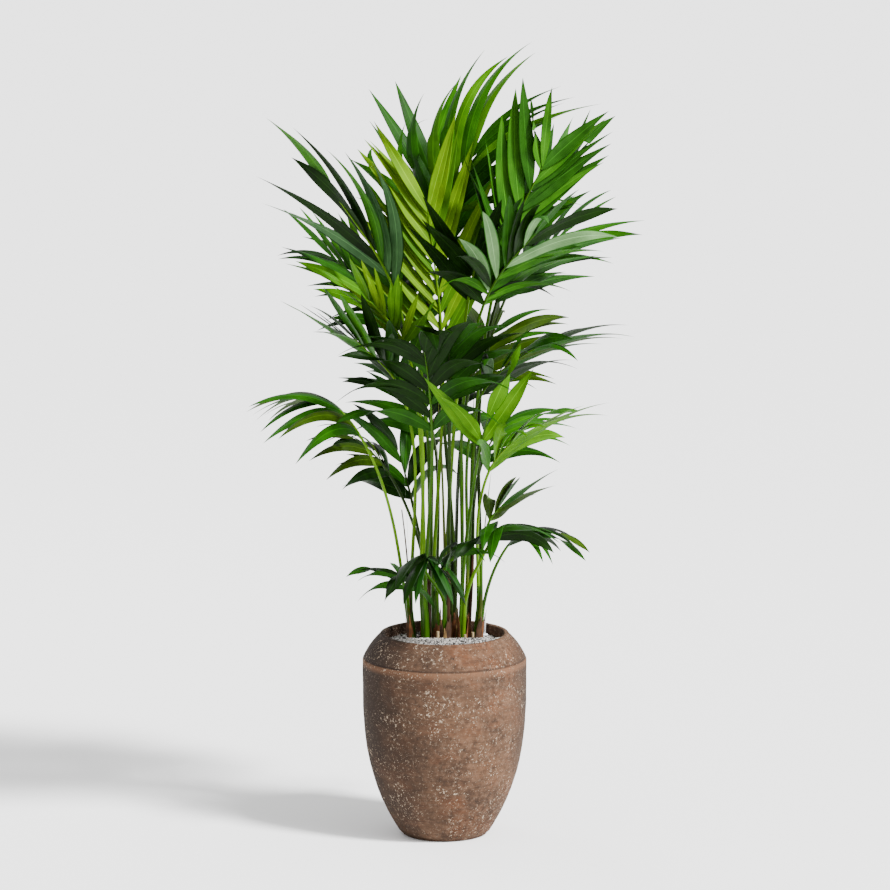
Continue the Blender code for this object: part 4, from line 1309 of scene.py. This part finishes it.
def makeGravel():
    corners = [bedPoint(row, k) for row in range(bed["rows"]) for k in range(bed["sides"])]
    faces = ringFaces(bed["rows"], bed["sides"], turned=True)
    gravel = plainPiece("gravel_bed", corners, faces)
    grains = plainPiece("gravel_grains", corners, faces)
    solid = bmesh.new()
    solid.from_mesh(gravel.data)
    edges = [edge for edge in solid.edges if edge.is_boundary]
    grown = bmesh.ops.extrude_edge_only(solid, edges=edges)["geom"]
    for corner in grown:
        if isinstance(corner, bmesh.types.BMVert):
            corner.co.z = soilLevel - bed["skirt"]
    bmesh.ops.bridge_loops(solid, edges=[part for part in grown if isinstance(part, bmesh.types.BMEdge)])
    bmesh.ops.recalc_face_normals(solid, faces=solid.faces)
    solid.to_mesh(gravel.data)
    solid.free()
    paint(gravel, grainMaterial("gravel_bed_between_grains", gravelBedTones))
    keepPiece(gravel, ["gravel"])
    finishes = [(grainMaterial("gravel_" + name, tones),) * 2 for name, tones in gravelTints.items()]
    grow(grains, scatterTree("gravelGrains", finishes), gravelLook)
    keepPiece(grains)


def makeSoil():
    # A lumpy skin over the bare patch, with crumbs on it
    sides, rows = soilBed["sides"], soilBed["rows"]
    corners = [Vector((*patch["centre"], 0.0))]
    corners += [
        patchPoint(math.tau * k / sides, soilBed["patchSize"], row, rows)
        for row in range(1, rows + 1) for k in range(sides)
    ]
    for number, corner in enumerate(corners):
        lumps = noise.fractal(corner * soilBed["lumpScale"], *soilBed["lumpDetail"]) * soilBed["lumps"]
        atEdge = number >= len(corners) - sides
        corner.z = soilLevel + soilBed["rise"] + (-soilBed["edgeDrop"] if atEdge else lumps)
    faces = [(0, 1 + k, 1 + (k + 1) % sides) for k in range(sides)]
    faces += ringFaces(rows, sides, start=1, turned=True)
    crumbs = plainPiece("soil_crumbs", corners, faces)
    low = len(corners)
    corners += [Vector((corner.x, corner.y, soilLevel - soilBed["bottom"])) for corner in corners[-sides:]]
    faces += ringFaces(2, sides, start=low - sides, turned=True)
    faces.append(tuple(reversed(range(low, low + sides))))
    skin = plainPiece("soil_skin", corners, faces)
    finishes = [(grainMaterial("soil_" + name, tones),) * 2 for name, tones in soilTints.items()]
    paint(skin, finishes[0][0])
    keepPiece(skin)
    grow(crumbs, scatterTree("soilCrumbs", finishes), crumbLook)
    keepPiece(crumbs)
    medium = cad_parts["growing_medium"]
    medium.data.materials.clear()
    medium.data.materials.append(finishes[0][0])


makeGravel()
makeSoil()
print("filling made")


# Water gauge

gaugeLook = {
    "place": (0.098, 0.085), "sides": 32,
    "clear": (0.90, 0.92, 0.93), "clearRoughness": 0.18, "transmission": 0.35, "refraction": 1.42,
    "white": (0.60, 0.61, 0.62), "whiteShade": (0.74, 0.75, 0.76), "whiteRoughness": 0.42,
}
plasticFinish = {"specular": 0.5, "fine": 420.0, "detail": 3.0, "stretch": 1.0, "tones": (0.4, 0.7)}
# Radius and height over the gravel
gaugeOutlines = {
    "gauge_tube": (
        (0.0, 0.001), (0.0034, 0.001), (0.0034, 0.0545), (0.00272, 0.0559), (0.00136, 0.0565), (0.0, 0.0565),
    ),
    "gauge_float": ((0.0, 0.002), (0.0011, 0.002), (0.0011, 0.034), (0.00055, 0.035), (0.0, 0.035)),
    "gauge_collar": (
        (0.0, 0.0), (0.0084, 0.0), (0.009, 0.0006), (0.009, 0.002), (0.008, 0.0028), (0.005, 0.0032),
        (0.0042, 0.004), (0.0, 0.004),
    ),
}


def gaugeCorner(radius, height, k):
    x, y = gaugeLook["place"]
    turn = compass(360.0 * k / gaugeLook["sides"]) * radius
    return x + turn.x, y + turn.y, gravelTop + seam + height


def makeGauge():
    look = gaugeLook
    clear, tree, shader = newMaterial("clear_tube", look["clearRoughness"])
    shader.inputs["Base Color"].default_value = (*look["clear"], 1.0)
    shader.inputs["Transmission Weight"].default_value = look["transmission"]
    shader.inputs["IOR"].default_value = look["refraction"]
    white = mottledMaterial(
        "gauge_plastic", plasticFinish, look["white"], look["whiteShade"], look["whiteRoughness"],
    )
    for name, outline in gaugeOutlines.items():
        inTube = name == "gauge_tube"
        piece = lathePiece(name, outline, look["sides"], gaugeCorner, clear if inTube else white)
        keepPiece(piece, ["water_gauge"] if inTube else ())


makeGauge()
print("gauge made")


# Studio: a pale floor, soft light from the right and the camera of the photo

photo = {
    "side": 890.0, "axisColumn": 444.5, "footRow": 836.5, "potWidth": 165.0,
    "elevation": 10.0, "distance": 14.0, "sensor": 36.0,
}
studio = {
    "floor": (0.97, 0.97, 0.97), "floorHalf": 40.0, "floorRoughness": 0.9, "floorSpecular": 0.2,
    "sky": (1.0, 1.0, 1.0), "world": 1.0, "aim": 0.95,
}
# The kind of each light, its place, its angle or width, and its power
lights = {
    "sun": ("SUN", (3.0, -2.0, 4.6), 10.0, 9.5), "key": ("AREA", (3.6, -3.0, 2.6), 1.6, 110.0),
    "rim": ("AREA", (-2.4, 3.2, 3.6), 2.0, 50.0),
}


def placeAndAim(name, data, location, aim):
    # Puts a light or the camera in its place, and turns it to what it looks at.
    item = bpy.data.objects.new(name, data)
    item.location = location
    item.rotation_euler = (aim - item.location).to_track_quat("-Z", "Y").to_euler()
    bpy.context.scene.collection.objects.link(item)
    return item


def makeStudio():
    half = studio["floorHalf"]
    corners = ((-half, -half, 0.0), (half, -half, 0.0), (half, half, 0.0), (-half, half, 0.0))
    floor = plainPiece("floor", corners, [(0, 1, 2, 3)])
    pale, tree, shader = newMaterial("floor_pale", studio["floorRoughness"], studio["floorSpecular"])
    shader.inputs["Base Color"].default_value = (*studio["floor"], 1.0)
    floor.data.materials.append(pale)
    for name, (kind, location, width, power) in lights.items():
        lamp = bpy.data.lights.new(name, kind)
        if kind == "SUN":
            lamp.angle = math.radians(width)
        else:
            lamp.shape = "DISK"
            lamp.size = width
        lamp.energy = power
        placeAndAim(name, lamp, location, Vector((0.0, 0.0, studio["aim"])))
    world = bpy.data.worlds.new("studio")
    world.use_nodes = True
    sky = world.node_tree.nodes["Background"]
    sky.inputs["Color"].default_value = (*studio["sky"], 1.0)
    sky.inputs["Strength"].default_value = studio["world"]
    bpy.context.scene.world = world


def makeCamera():
    low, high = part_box("pot")
    pixel = (high.x - low.x) / photo["potWidth"]
    elevation = math.radians(photo["elevation"])
    centre = photo["side"] / 2
    aside, rise = centre - photo["axisColumn"], photo["footRow"] - centre
    aim = Vector((aside * pixel, 0.0, rise * pixel / math.cos(elevation)))
    lens = bpy.data.cameras.new("camera")
    lens.sensor_width = photo["sensor"]
    lens.lens = lens.sensor_width * photo["distance"] / (photo["side"] * pixel)
    way = Vector((0.0, -math.cos(elevation), math.sin(elevation)))
    bpy.context.scene.camera = placeAndAim("camera", lens, aim + way * photo["distance"], aim)


makeStudio()
makeCamera()
print("studio made")
